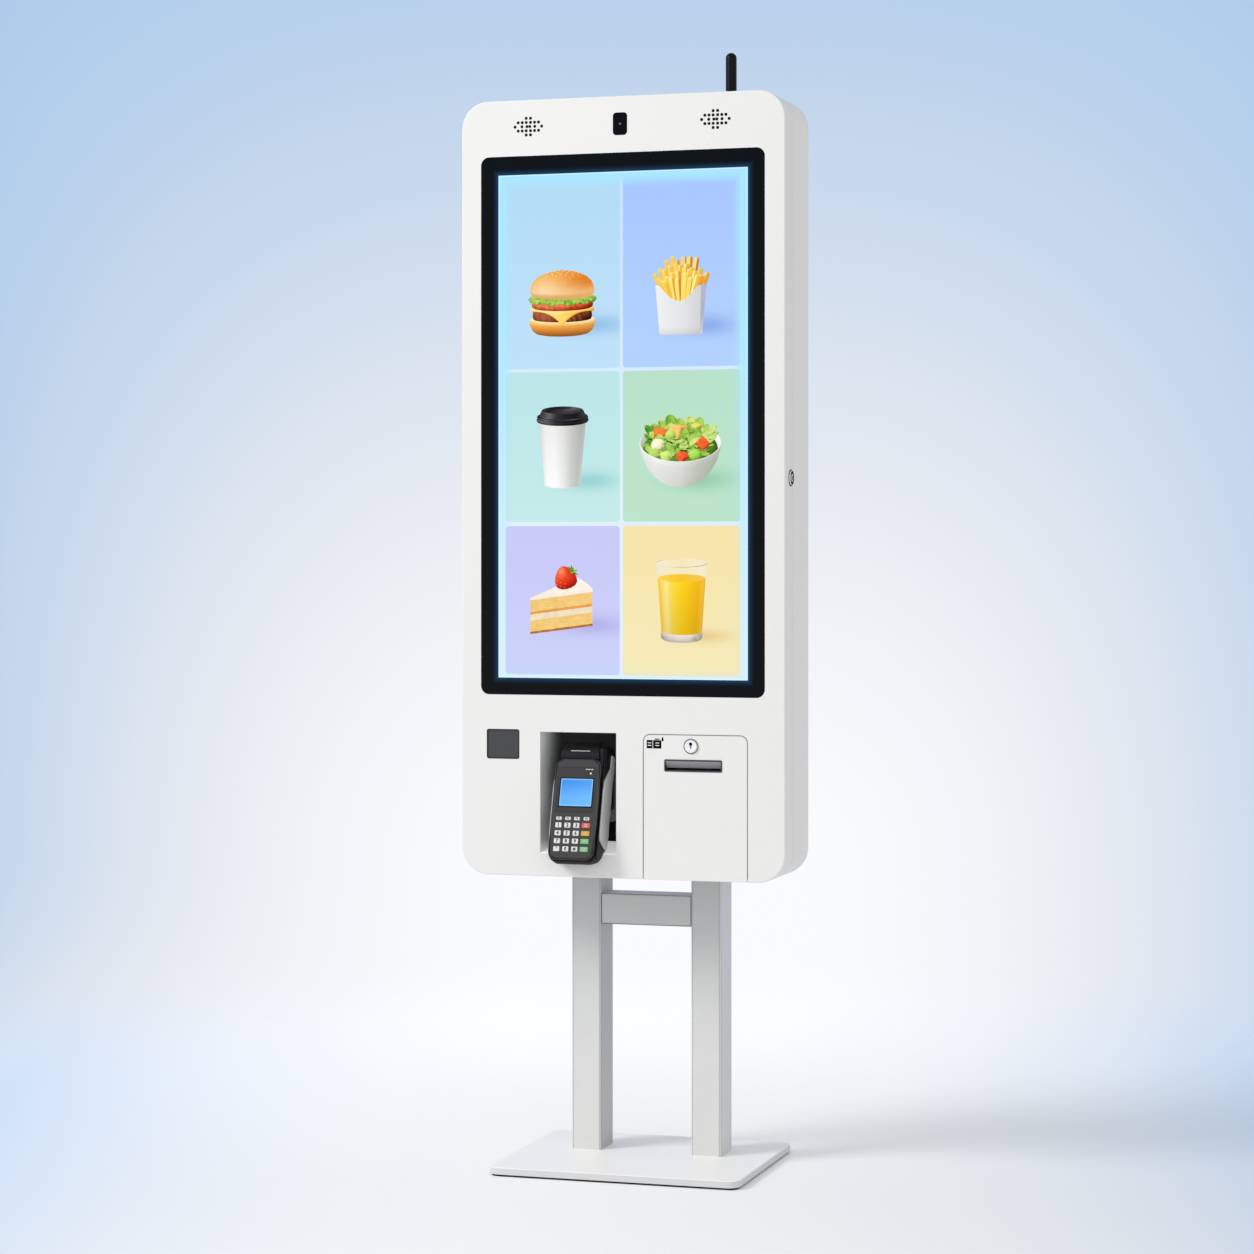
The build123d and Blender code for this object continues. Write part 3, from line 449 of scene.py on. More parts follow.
def settle(piece, body, finish):
    # gives a finished piece its body, its slot and its material
    piece.data.materials.clear()
    piece.data.materials.append(finish)
    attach(piece, body)


def tidyMesh():
    pickAll()
    bpy.ops.mesh.remove_doubles(threshold=0.02 * mm)
    pickAll()
    bpy.ops.mesh.normals_make_consistent(inside=False)
    endEdit()


def boxMiddle(node):
    low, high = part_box(node)
    return (low + high) / 2


def facing(middle, up, outward):
    # a place on a face: x to the right along it, y up it and z out of it
    turn = Matrix((up.cross(outward), up, outward)).transposed()
    return Matrix.Translation(middle) @ turn.to_4x4()


def faceOfBox(node, outward):
    # the place in the middle of one side of a node's box
    low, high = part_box(node)
    return facing((low + high + outward * (high - low)) / 2, up, outward)


def faceOf(node, up, outward):
    # the place in the middle of a node's outermost face
    middle = boxMiddle(node)
    part = frame["nodes"][node]
    reach = max((part.matrix_world @ vertex.co).dot(outward) for vertex in part.data.vertices)
    return facing(middle + outward * (reach - middle.dot(outward)), up, outward)


def raiseFlat(thick):
    # gives a flat piece its thickness in millimetres
    pickAll()
    bpy.ops.mesh.extrude_region_move(TRANSFORM_OT_translate={"value": (0, 0, thick * mm)})
    tidyMesh()


def flatOn(name, edges, lift, corner, steps):
    # edit mode with a flat piece with rounded corners; edges are left, right, low and high in millimetres
    left, right, low, high = [edge * mm for edge in edges]
    bpy.ops.mesh.primitive_plane_add(size=1, location=((left + right) / 2, (low + high) / 2, lift * mm))
    bpy.context.object.scale = (right - left, high - low, 1)
    flat = startPiece(name)
    openMesh()
    bpy.ops.mesh.bevel(offset=corner * mm, segments=steps, affect="VERTICES")
    pickAll()
    return flat


def plateOn(name, place, edges, lift, thick, corner=0.3, steps=4):
    plate = flatOn(name, edges, lift, corner, steps)
    raiseFlat(thick)
    plate.data.transform(place)
    return plate


def discOn(name, place, spot, radius, lift, thick, hole=0.0, steps=48):
    # a disc, or a ring round a hole
    bpy.ops.mesh.primitive_circle_add(vertices=steps, radius=radius * mm, fill_type="NGON",
                                      location=(spot[0] * mm, spot[1] * mm, lift * mm))
    disc = startPiece(name)
    bpy.ops.object.mode_set(mode="EDIT")
    bpy.ops.mesh.select_mode(type="FACE")
    pickAll()
    if hole > 0:
        bpy.ops.mesh.inset(thickness=(radius - hole) * mm)
        bpy.ops.mesh.delete(type="FACE")
    raiseFlat(thick)
    disc.data.transform(place)
    return disc


def convertAt(place):
    # makes a mesh of a text or a curve and puts it at its place
    bpy.ops.object.convert(target="MESH")
    piece = bpy.context.object
    bpy.ops.object.mode_set(mode="EDIT")
    bpy.ops.mesh.select_mode(type="VERT")
    tidyMesh()
    piece.data.transform(place)
    return piece


def signOn(name, place, sign, tall, lift, thick=0.08):
    # a character from the plain built-in type, made a mesh and set in the middle of a face
    bpy.ops.object.text_add()
    mark = bpy.context.object
    mark.name = name
    mark.data.body = sign
    mark.data.align_x, mark.data.align_y = "CENTER", "CENTER"
    mark.data.size = tall * mm
    mark.data.offset = 0.04 * tall * mm
    mark.data.extrude = thick / 2 * mm
    mark.data.resolution_u = 2
    return convertAt(place @ moved((0, 0, lift)))


def rimOn(name, place, edges, lift, corner, thick):
    # a thin round line along the outline of a plate with rounded corners
    flatOn(name, edges, lift, corner, 8)
    bpy.ops.mesh.delete(type="ONLY_FACE")
    endEdit()
    bpy.ops.object.convert(target="CURVE")
    bpy.context.object.data.bevel_depth = thick * mm
    bpy.context.object.data.bevel_resolution = 1
    return convertAt(place)


# the picture on the display

display = {
    "left": -0.1859, "right": 0.1879, "low": 0.7138, "high": 1.4411,
    "front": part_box("touch_glass")[0].y,
    "proud": 0.06 * mm,
    "glowIn": 0.025, "glowOut": 0.011, "glowPower": 1.5, "borderTones": ((1, 2, 3), (17, 62, 98)),
    "edgeRise": (0.72, 1.30), "gapRise": (0.95, 1.43), "line": (-0.0022, -0.0012), "lineShare": 0.55,
    "lineTone": (236, 252, 255),
    "shadowSoft": 1.2, "shadowShare": 0.66, "washRise": (0.75, 1.42), "washMore": 0.78, "washLeast": 0.10,
    "columns": ((-0.1750, -0.0020), (0.0030, 0.1770)),
    "rows": ((1.1600, 1.4335), (0.9390, 1.1550), (0.7190, 0.9330)),
    "fieldCorner": (0.6, 2), "tileCorner": (4.8, 6),
    "edge": (168, 231, 255), "paleEdge": (214, 240, 251), "gap": (224, 239, 250), "highGap": (198, 227, 252),
}


def outlineDistance(tree, axes, spans):
    # metres outside an upright rectangle, less than zero inside it
    parts = []
    for axis, low, high in spans:
        away = calc(tree, "ABSOLUTE", calc(tree, "SUBTRACT", axes[axis], (low + high) / 2))
        parts.append(calc(tree, "SUBTRACT", away, (high - low) / 2))
    return calc(tree, "MAXIMUM", parts[0], parts[1])


def fieldDistance(tree):
    axes = axesOf(tree)
    spans = (("X", display["left"], display["right"]), ("Z", display["low"], display["high"]))
    return outlineDistance(tree, axes, spans), axes["Z"]


def litSurface(name, tone, rough=0.08, gloss=0.2):
    # a black gloss surface that gives out the colour at the socket
    finish, tree, surface = newFinish(name)
    setSockets(surface, {"Base Color": fromScreen(4, 4, 5), "Roughness": rough, "Specular IOR Level": gloss,
                         "Emission Strength": 1.0})
    tree.links.new(tone(tree), surface.inputs["Emission Color"])
    return finish


def borderTone(tree):
    # the black border with the blue glow next to the lit field
    away, height = fieldDistance(tree)
    glow = lessen(tree, ramp(tree, away, -0.002, display["glowOut"]))
    return mixTones(tree, calc(tree, "POWER", glow, display["glowPower"]), *display["borderTones"])


def fieldTone(tree):
    # pale between the tiles, bright cyan at the field's upper edges
    away, height = fieldDistance(tree)
    rise = ramp(tree, height, *display["edgeRise"])
    edge = mixTones(tree, rise, display["paleEdge"], display["edge"])
    glow = ramp(tree, away, -display["glowIn"], -0.004)
    gap = mixTones(tree, ramp(tree, height, *display["gapRise"]), display["gap"], display["highGap"])
    inner = mixTones(tree, glow, gap, edge)
    line = ramp(tree, away, *display["line"])
    return mixTones(tree, calc(tree, "MULTIPLY", line, display["lineShare"]), inner, display["lineTone"])


tiles = {  # column, row, the tones at the top, at the foot and of the food's shadow, the shadow's place and size
    "burger": (0, 0, (179, 219, 246), (190, 224, 249), (120, 178, 222), (-0.040, 1.222), (0.040, 0.012)),
    "fries": (1, 0, (167, 198, 254), (178, 208, 253), (116, 152, 224), (0.128, 1.218), (0.034, 0.012)),
    "cup": (0, 1, (187, 229, 231), (195, 234, 232), (126, 196, 200), (-0.048, 0.998), (0.034, 0.011)),
    "salad": (1, 1, (184, 225, 202), (188, 228, 202), (124, 192, 152), (0.118, 0.999), (0.040, 0.013)),
    "cake": (0, 2, (201, 201, 247), (202, 208, 249), (166, 160, 226), (-0.046, 0.791), (0.044, 0.012)),
    "juice": (1, 2, (246, 229, 170), (245, 232, 182), (226, 190, 112), (0.124, 0.776), (0.030, 0.008)),
}


def tileTone(tree, look):
    column, row, top, foot, shade, spot, size = look
    away, height = fieldDistance(tree)
    ground = mixTones(tree, ramp(tree, height, *display["rows"][row]), foot, top)
    # the food's soft shadow, long to the right
    axes, parts = axesOf(tree), []
    for axis, middle, reach in zip("XZ", spot, size):
        step = calc(tree, "DIVIDE", calc(tree, "SUBTRACT", axes[axis], middle), reach * display["shadowSoft"])
        parts.append(calc(tree, "MULTIPLY", step, step))
    dark = calc(tree, "EXPONENT", calc(tree, "MULTIPLY", calc(tree, "ADD", parts[0], parts[1]), -1.0))
    ground = mixTones(tree, calc(tree, "MULTIPLY", dark, display["shadowShare"]), ground, shade)
    # the glow from the field's edge washes over the tile, most of all at the top
    reach = ramp(tree, away, -display["glowIn"], -0.006)
    strength = calc(tree, "MULTIPLY", ramp(tree, height, *display["washRise"]), display["washMore"])
    strength = calc(tree, "ADD", strength, display["washLeast"])
    return mixTones(tree, calc(tree, "MULTIPLY", reach, strength), ground, display["edge"])


def makeDisplay():
    glass = frame["nodes"]["touch_glass"]
    glass.data.materials.clear()
    glass.data.materials.append(litSurface("touchGlass", borderTone, rough=0.05, gloss=0.12))
    face = facing(Vector((0, display["front"], 0)), up, front)
    proud = display["proud"] / mm
    plates = {"displayField": (display["left"], display["right"], display["low"], display["high"])}
    for name, look in tiles.items():
        plates[name + "Tile"] = (*display["columns"][look[0]], *display["rows"][look[1]])
    for name, edges in plates.items():
        field = name == "displayField"
        tone = fieldTone if field else lambda tree: tileTone(tree, tiles[name[:-4]])
        plate = plateOn(name, face, [edge / mm for edge in edges], 0.0 if field else proud, proud,
                        *display["fieldCorner" if field else "tileCorner"])
        settle(plate, "front_door", litSurface(name, tone))


makeDisplay()
print("display lit, with", len(tiles), "tiles")


# steps for the foods on the tiles, which are modelled in the round and then pressed nearly flat

shelf = {
    "light": Vector((-0.52, -0.60, 0.61)).normalized(),
    "relief": 0.40 * mm,
    "lift": 0.06 * mm,
}


def walkVertices(path):
    # edit mode with one vertex after the other along a path in millimetres
    bpy.ops.mesh.primitive_plane_add(size=mm)
    bpy.ops.object.mode_set(mode="EDIT")
    bpy.ops.mesh.select_mode(type="VERT")
    pickAll()
    bpy.ops.mesh.merge(type="CENTER")
    here = Vector((0, 0, 0))
    for count, spot in enumerate(path):
        there = Vector(spot) * mm
        if count == 0:
            bpy.ops.transform.translate(value=there - here)
        else:
            bpy.ops.mesh.extrude_vertices_move(TRANSFORM_OT_translate={"value": there - here})
        here = there


def spun(name, profile, steps=40):
    # a profile of (radius, height) pairs in millimetres, spun round the upright axis
    walkVertices([(radius, 0, height) for radius, height in profile])
    pickAll()
    bpy.ops.mesh.spin(steps=steps, angle=math.radians(360), center=(0, 0, 0), axis=(0, 0, 1))
    tidyMesh()
    return startPiece(name)


def prism(name, outline, low, high):
    # an outline of (x, y) pairs in millimetres, raised from low to high
    walkVertices([(x, y, low) for x, y in outline])
    pickAll()
    bpy.ops.mesh.edge_face_add()
    raiseFlat(high - low)
    return startPiece(name)


def blob(name, size, place, rings=10):
    # a ball with its own radii in millimetres
    bpy.ops.mesh.primitive_uv_sphere_add(segments=rings * 2, ring_count=rings, radius=1)
    bpy.context.object.scale = Vector(size) * mm
    piece = startPiece(name)
    piece.data.transform(moved(place))
    return piece


def blend(stops, value):
    # the colour at value along (value, colour) stops
    for (low, first), (high, second) in zip(stops, stops[1:]):
        if value <= high:
            share = max(0.0, min(1.0, (value - low) / (high - low)))
            return tuple(a + (b - a) * share for a, b in zip(first, second))
    return stops[-1][1]


def scaled(colour, share, add=0.0):
    return tuple(min(255.0, part * share + add) for part in colour)


def level(stops, value):
    # the number at value along (value, number) stops
    return blend([(place, (number,)) for place, number in stops], value)[0]


def lit(stops, grain=0.0, size=6.0):
    # shades a piece from its dark side to its light side, a little uneven where grain is set
    def tone(place, normal):
        value = normal.dot(shelf["light"]) + grain * noise.noise(place / (size * mm))
        return blend(stops, value)
    return tone


def paint(piece, tone, smooth=True):
    picture = piece.data.color_attributes.new("picture", "FLOAT_COLOR", "CORNER")
    for face in piece.data.polygons:
        for corner in face.loop_indices:
            vertex = piece.data.vertices[piece.data.loops[corner].vertex_index]
            normal = vertex.normal if smooth else face.normal
            picture.data[corner].color = fromScreen(*tone(vertex.co, normal))


def pictureSurface():
    # gives out the painted colours, with a fine unevenness
    finish, tree, surface = newFinish("foodPicture")
    setSockets(surface, {"Base Color": fromScreen(4, 4, 5), "Roughness": 0.5, "Specular IOR Level": 0.0,
                         "Emission Strength": 1.0})
    colour = tree.nodes.new("ShaderNodeAttribute")
    colour.attribute_name = "picture"
    scale = tree.nodes.new("ShaderNodeVectorMath")
    scale.operation = "SCALE"
    tree.links.new(colour.outputs["Color"], scale.inputs[0])
    uneven = calc(tree, "ADD", calc(tree, "MULTIPLY", unevenOf(tree, 420.0), 0.10), 0.95)
    tree.links.new(uneven, scale.inputs["Scale"])
    tree.links.new(scale.outputs["Vector"], surface.inputs["Emission Color"])
    return finish


def serve(name, look, parts):
    # tips a food towards the viewer, paints it and presses it onto its tile
    tip = turned(look["tip"], "X")
    for piece, tone, smooth in parts:
        piece.data.transform(tip)
        paint(piece, tone, smooth)
    food = joinPieces([piece for piece, tone, smooth in parts], name + "Picture")
    editFaces(food, lambda middle, normal: normal.y > 0.0)
    bpy.ops.mesh.delete(type="FACE")
    endEdit()
    near = min(vertex.co.y for vertex in food.data.vertices)
    far = max(vertex.co.y for vertex in food.data.vertices)
    back = display["front"] - 2 * display["proud"] - shelf["lift"]
    moveVertices(food, lambda spot: Vector((look["at"][0] * mm + spot.x,
                                            back - shelf["relief"] * (far - spot.y) / (far - near),
                                            look["at"][1] * mm + spot.z)))
    settle(food, "front_door", foodSurface)


foodSurface = pictureSurface()


# burger

burger = {
    "at": (-88.5, 1210.1), "tip": 7,
    "topBun": [(0, 91.3), (12, 90.8), (21, 89), (30, 86), (38, 82), (44, 76.5), (47.5, 70.5), (49, 64.5),
               (48.5, 59.5), (46, 56), (42, 54.5), (0, 54.5)],
    "tomato": [(0, 38), (43, 38), (45.6, 39.5), (46.8, 42.5), (46, 46), (42, 48), (0, 48)],
    "patty": [(0, 19), (39, 19), (43.5, 21), (45.2, 26), (44.4, 32), (41, 36), (0, 36)],
    "lowBun": [(0, 0), (34, 0), (40, 1.3), (45, 5), (48.5, 11), (49.5, 17), (48.5, 21.5), (44, 22), (40, 19.5),
               (0, 19.5)],
    "lettuce": [(30, 53.4), (40, 53.4), (46, 53.2), (48.6, 51.6), (50.2, 49), (50.2, 47.8), (47.6, 49.2), (43, 50.8),
                (30, 52)],
    "frill": [(2.2, 11, 0.6), (1.1, 23, 0), (0.7, 37, 1)], "frillFrom": 53.0,
    "cheeseReach": 70.0, "cheeseThick": 1.8, "cheeseTop": 36.6, "edgeAt": 46.0,
    "seed": (1.0, 1.7, 0.7), "seeds": 64, "seedReach": 41.0, "domeFoot": 62.0, "domeRise": 29.6, "domeReach": 49.0,
}


def crustTone(place, normal):
    # golden on top, paler and warmer low on the left
    value = normal.dot(shelf["light"])
    crust = blend([(-0.2, (214, 120, 46)), (0.25, (236, 160, 74)), (0.7, (240, 172, 88)), (1.0, (247, 190, 108))],
                  value)
    low = blend([(-0.3, (226, 172, 104)), (0.0, (244, 200, 138)), (0.5, (240, 186, 112)), (0.8, crust)],
                normal.z * 0.9 + 0.1)
    glow = max(0.0, normal.dot(Vector((-0.55, -0.80, 0.25)).normalized())) ** 5
    deep = max(0.0, normal.dot(Vector((0.62, -0.45, 0.64)).normalized())) ** 4
    uneven = 5.0 * noise.noise(place / (5.0 * mm))
    return tuple(min(255.0, part + add * glow - cut * deep + uneven)
                 for part, add, cut in zip(low, (12, 26, 44), (10, 40, 44)))


def lowBunTone(place, normal):
    low = blend([(-0.9, (150, 84, 34)), (-0.55, (206, 128, 48)), (-0.2, (234, 160, 66)), (0.15, (246, 184, 96)),
                 (0.5, (253, 222, 150)), (0.9, (255, 236, 180))], normal.z)
    return scaled(low, 1.0 + 0.05 * normal.dot(Vector((-0.8, -0.3, 0))))


def leafTone(place, normal):
    # pale veins between the greens
    vein = noise.noise(Vector((place.x / (3.0 * mm), place.y / (9.0 * mm), place.z / (2.5 * mm))))
    value = 0.42 + 0.35 * normal.dot(shelf["light"]) + 0.55 * vein
    return blend([(0.05, (48, 92, 22)), (0.35, (92, 150, 40)), (0.6, (136, 190, 62)), (0.85, (186, 216, 100)),
                  (1.1, (216, 234, 150))], value)


def makeSeeds():
    # a teardrop seed, copied over the crown of the bun
    seed = blob("burgerSeed", burger["seed"], (0, 0, 0), rings=5)
    half = burger["seed"][1] * mm
    moveVertices(seed, lambda spot: Vector((spot.x * (1.0 - 0.35 * spot.y / half), spot.y, spot.z)))
    seeds = []
    reach, rise = burger["domeReach"], burger["domeRise"]
    for count in range(burger["seeds"]):
        angle = count * goldenAngle
        radius = burger["seedReach"] * math.sqrt((count + 0.7) / burger["seeds"])
        arch = math.sqrt(1.0 - (radius / reach) ** 2)
        lean = math.atan(rise / reach * (radius / reach) / arch)
        spot = moved((radius * math.cos(angle), radius * math.sin(angle), burger["domeFoot"] + rise * arch))
        turn = Matrix.Rotation(angle, 4, "Z") @ Matrix.Rotation(lean, 4, "Y") @ Matrix.Rotation(count * 1.7, 4, "Z")
        seeds.append(copyPiece(seed, "burgerSeed" + str(count), spot @ turn))
    bpy.data.objects.remove(seed)
    return seeds


def makeCheese():
    # a square slice with one corner to the front, whose corners hang over the patty
    bpy.ops.mesh.primitive_grid_add(x_subdivisions=36, y_subdivisions=36, rotation=(0, 0, math.radians(45)),
                                    size=2 * burger["cheeseReach"] / math.sqrt(2) * mm)
    slice = startPiece("burgerCheese")
    bpy.ops.object.mode_set(mode="EDIT")
    raiseFlat(burger["cheeseThick"])
    edge, top = burger["edgeAt"] * mm, burger["cheeseTop"] * mm

    def drape(spot):
        reach = math.hypot(spot.x, spot.y)
        over = max(0.0, reach - edge)
        if over > 0:
            over *= 0.22 + 0.56 * max(0.0, -spot.y / reach)
        soft = min(over, 3 * mm) ** 2 / (6 * mm) + max(0.0, over - 3 * mm)
        inward = (edge + over * 0.16 + spot.z * 0.9) / reach if over > 0 else 1.0
        return Vector((spot.x * inward, spot.y * inward, top - soft * 1.12 + spot.z * (0.4 if over > 0 else 1.0)))

    moveVertices(slice, drape)
    return slice


def makeBurger():
    lettuce = spun("burgerLettuce", burger["lettuce"], steps=180)

    def frill(spot):
        angle = math.atan2(spot.y, spot.x)
        share = (math.hypot(spot.x, spot.y) / (burger["frillFrom"] * mm)) ** 6
        wave = share * sum(tall * math.sin(often * angle + start) for tall, often, start in burger["frill"])
        return Vector((spot.x * (1 + 0.02 * wave), spot.y * (1 + 0.02 * wave), spot.z + wave * mm))

    moveVertices(lettuce, frill)
    parts = [
        (spun("burgerTopBun", burger["topBun"], steps=72), crustTone, True),
        (lettuce, leafTone, True),
        (spun("burgerTomato", burger["tomato"], steps=72),
         lit([(-0.4, (122, 26, 12)), (0.1, (180, 48, 22)), (0.5, (208, 76, 38)), (0.85, (238, 136, 86))], 0.5, 5.0),
         True),
        (makeCheese(), lit([(-0.2, (222, 158, 40)), (0.3, (248, 200, 84)), (0.7, (255, 222, 118)),
                            (0.95, (255, 238, 172))]), True),
        (spun("burgerPatty", burger["patty"], steps=90),
         lit([(-0.3, (52, 18, 9)), (0.1, (96, 40, 22)), (0.45, (134, 62, 36)), (0.9, (176, 98, 60))], 0.85, 3.2),
         True),
        (spun("burgerLowBun", burger["lowBun"], steps=72), lowBunTone, True),
    ]
    pale = lit([(0.0, (236, 176, 104)), (0.5, (254, 222, 158)), (0.9, (255, 240, 200))])
    parts += [(seed, pale, True) for seed in makeSeeds()]
    serve("burger", burger, parts)


makeBurger()
print("burger served")


# fries

fries = {
    "at": (89.5, 1206.5), "tip": 6, "turn": -11,
    "halfTop": 34.7, "halfFoot": 30.3, "tall": 72.0, "dip": 23.0,
    "deepTop": 42.0, "deepFoot": 22.0,
    "rows": [  # how many, tip reach, tip height, fall to the sides, foot reach, depth
        (10, 40, 111, 24, 17, 8), (9, 34, 101, 19, 15, 3), (8, 29, 93, 13, 13, -3), (6, 24, 83, 3, 10, -9),
    ],
    "thick": 6.9,
}


def cartonTone(place, normal):
    if normal.x > 0.6:
        return blend([(0.0, (206, 209, 218)), (0.03, (176, 180, 193)), (0.08, (182, 186, 198))], place.z)
    card = blend([(-0.034, (240, 241, 242)), (0.004, (228, 229, 230)), (0.034, (206, 208, 213))], place.x)
    return scaled(card, level([(-0.002, 0.90), (0.008, 1.0)], place.z))


def makeCarton():
    # the front's outline with its dip, set up on edge and made deeper towards the top
    outline = [(-fries["halfFoot"], 0), (fries["halfFoot"], 0)]
    for step in range(33):
        share = step / 32
        hollow = math.sin(math.pi * max(0.0, min(1.0, (share - 0.07) / 0.86)))
        outline.append((fries["halfTop"] * (1 - 2 * share), fries["tall"] - fries["dip"] * hollow ** 1.05))
    carton = prism("friesCarton", outline, -1, 1)
    carton.data.transform(turned(90, "X"))

    def deepen(spot):
        deep = fries["deepFoot"] + (fries["deepTop"] - fries["deepFoot"]) * spot.z / (fries["tall"] * mm)
        return Vector((spot.x, math.copysign(deep / 2 * mm, spot.y), spot.z))

    moveVertices(carton, deepen)
    editFaces(carton, lambda middle, normal: normal.z > 0.2 and middle.z > 40 * mm)
    bpy.ops.mesh.delete(type="FACE")
    # cuts that let the shading run evenly over the board
    for axis, first, last in ((0, -30, 30), (2, 6, 66)):
        for cut in range(first, last + 1, 6):
            spot, square = Vector((0, 0, 0)), Vector((0, 0, 0))
            spot[axis], square[axis] = cut * mm, 1.0
            pickAll()
            bpy.ops.mesh.bisect(plane_co=spot, plane_no=square)
    endEdit()
    return carton


def makeFry():
    # a square stick with soft edges and a slanted end
    bpy.ops.mesh.primitive_cube_add(size=1, location=(0, 0, 0.5))
    fry = startPiece("fry")
    openMesh()
    bpy.ops.mesh.bevel(offset=0.14, segments=2, affect="EDGES")
    endEdit()
    thick = fries["thick"] * mm
    moveVertices(fry, lambda spot: Vector((spot.x * thick, spot.y * thick, spot.z)))
    return fry


def makeFries():
    fry = makeFry()
    parts = [(makeCarton(), cartonTone, False)]
    for row, (count, reach, height, fall, foot, depth) in enumerate(fries["rows"]):
        for place in range(count):
            share = (place - (count - 1) / 2) / ((count - 1) / 2)
            wobble = noise.noise(Vector((place * 1.7, row * 3.1, 0.4)))
            tip = Vector((reach * share + 3 * wobble, depth, height - fall * share ** 2 + 11 * wobble)) * mm
            start = Vector((foot * share, depth * 0.5, 32)) * mm
            along = tip - start
            spin = turned(20 + 50 * wobble, "Z")
            stretch = Matrix.Diagonal((1, 1, along.length, 1))
            lean = along.to_track_quat("Z", "Y").to_matrix().to_4x4()
            stick = copyPiece(fry, f"fry{row}_{place}", Matrix.Translation(start) @ lean @ spin @ stretch)
            deep, high = 0.95 + 0.03 * row, 1.0 + 0.05 * wobble
            tone = [(-0.2, (206, 126, 30)), (0.2, (240, 176, 54)), (0.5, (254, 212, 96)), (0.85, (255, 236, 152))]
            tone = [(value, scaled(colour, deep * high)) for value, colour in tone]
            parts.append((stick, lit(tone, 0.12, 4.0), False))
    bpy.data.objects.remove(fry)
    parts[0][0].data.transform(turned(fries["turn"], "Z"))
    serve("fries", fries, parts)


makeFries()
print("fries served")


# cup

cup = {
    "at": (-88.2, 991.7), "tip": 10,
    "wall": [(0, 0), (25, 0), (27, 0.8), (27.6, 3), (27.2, 4.5), (35.3, 92), (35.8, 96), (0, 96)],
    "lid": [(35.5, 93.6), (38.4, 93.6), (39.4, 95), (39.5, 96.8), (38.6, 97.6), (38.4, 98.6), (39.0, 99.8),
            (38.0, 101.4), (35.4, 102), (34.6, 103.2), (31.9, 109), (31.2, 110), (30.2, 110.2), (29.4, 109.2),
            (28.6, 106.8), (0, 106.4)],
}


def cupTone(place, normal):
    side = blend([(-1.0, (238, 241, 240)), (-0.75, (255, 255, 255)), (-0.35, (253, 253, 252)),
                  (0.05, (236, 237, 234)), (0.45, (208, 210, 205)), (0.8, (192, 195, 190)),
                  (1.0, (204, 207, 204))], normal.x)
    return scaled(side, level([(0.080, 1.0), (0.089, 0.90)], place.z))


def lidTone(place, normal):
    if normal.z > 0.9:
        return blend([(-0.028, (12, 12, 13)), (0.0, (58, 57, 59)), (0.016, (98, 96, 98)), (0.030, (44, 43, 45))],
                     place.x)
    side = blend([(-1.0, (34, 34, 36)), (-0.55, (96, 95, 97)), (-0.25, (48, 47, 49)), (0.1, (30, 29, 31)),
                  (0.55, (22, 21, 23)), (0.85, (52, 50, 52)), (1.0, (28, 27, 29))], normal.x)
    return scaled(side, 1.0 + 0.9 * max(0.0, normal.z) ** 2 - 0.45 * max(0.0, -normal.z))


serve("cup", cup, [(spun("cupWall", cup["wall"], steps=96), cupTone, True),
                   (spun("cupLid", cup["lid"], steps=96), lidTone, False)])
print("cup served")


# salad

salad = {
    "at": (88.5, 1001.1), "tip": 27,
    "bowl": [(0, 0), (27, 0), (31, 1.2), (36, 5), (43, 12.5), (50, 22.5), (55.5, 34), (59, 46), (60.8, 56),
             (60.2, 57), (59.2, 56.6), (57.5, 48), (53, 36), (44, 30), (0, 30)],
    "chunks": [  # place, size and colour
        ((-30, 16, 62), 9.5, (238, 92, 26)), ((-2, 12, 68), 12.5, (250, 168, 84)),
        ((32, -18, 62), 10.5, (236, 80, 30)), ((2, -45, 54), 9.5, (236, 74, 32)),
        ((24, 30, 62), 8, (216, 186, 78)),
    ],
    "balls": [
        ((-33, -18, 62), 10.5, (234, 232, 184)), ((-38, -32, 55), 9, (160, 198, 82)),
        ((-20, -42, 56), 9.5, (184, 212, 102)), ((22, -40, 57), 10, (150, 202, 70)),
        ((-14, 2, 68), 8, (176, 206, 96)),
    ],
    "leaf": (21, 19, 2.6), "bed": ((56, 56, 17), (0, 0, 47)),
    "backLeaves": 11, "backFrom": 8, "backArc": 164, "backReach": (46, 40),
    "backFoot": 54, "backRise": 5, "backTip": 56,
    "looseLeaves": 96, "looseReach": 47, "looseFoot": 50, "looseRise": 16, "looseSpan": 56,
}


def makeLeaf(name, long, wide, cup):
    # a rounded leaf, cupped along its length, with its stalk end at the origin
    bpy.ops.mesh.primitive_grid_add(x_subdivisions=6, y_subdivisions=8, size=1)
    leaf = startPiece(name)
    bpy.ops.object.mode_set(mode="EDIT")
    raiseFlat(50)

    def shape(spot):
        share = spot.y + 0.5
        half = wide / 2 * math.sin(math.pi * min(1.0, 0.08 + 0.9 * share)) ** 0.6
        across = 2 * spot.x
        curl = cup * (across ** 2 - 0.7 * share ** 2) + 0.6 * math.sin(9 * share + 3 * across)
        return Vector((across * half, share * long, curl + spot.z * 12)) * mm

    moveVertices(leaf, shape)
    return leaf


def greens(pick):
    # a leaf's own green, between deep and yellowish
    dark = blend([(0.0, (52, 104, 22)), (1.0, (98, 138, 40))], pick)
    light = blend([(0.0, (120, 186, 58)), (1.0, (188, 212, 92))], pick)
    pale = blend([(0.0, (168, 216, 96)), (1.0, (226, 234, 150))], pick)
    return lit([(-0.35, (34, 66, 16)), (0.0, dark), (0.5, light), (0.95, pale)], 0.30, 3.0)


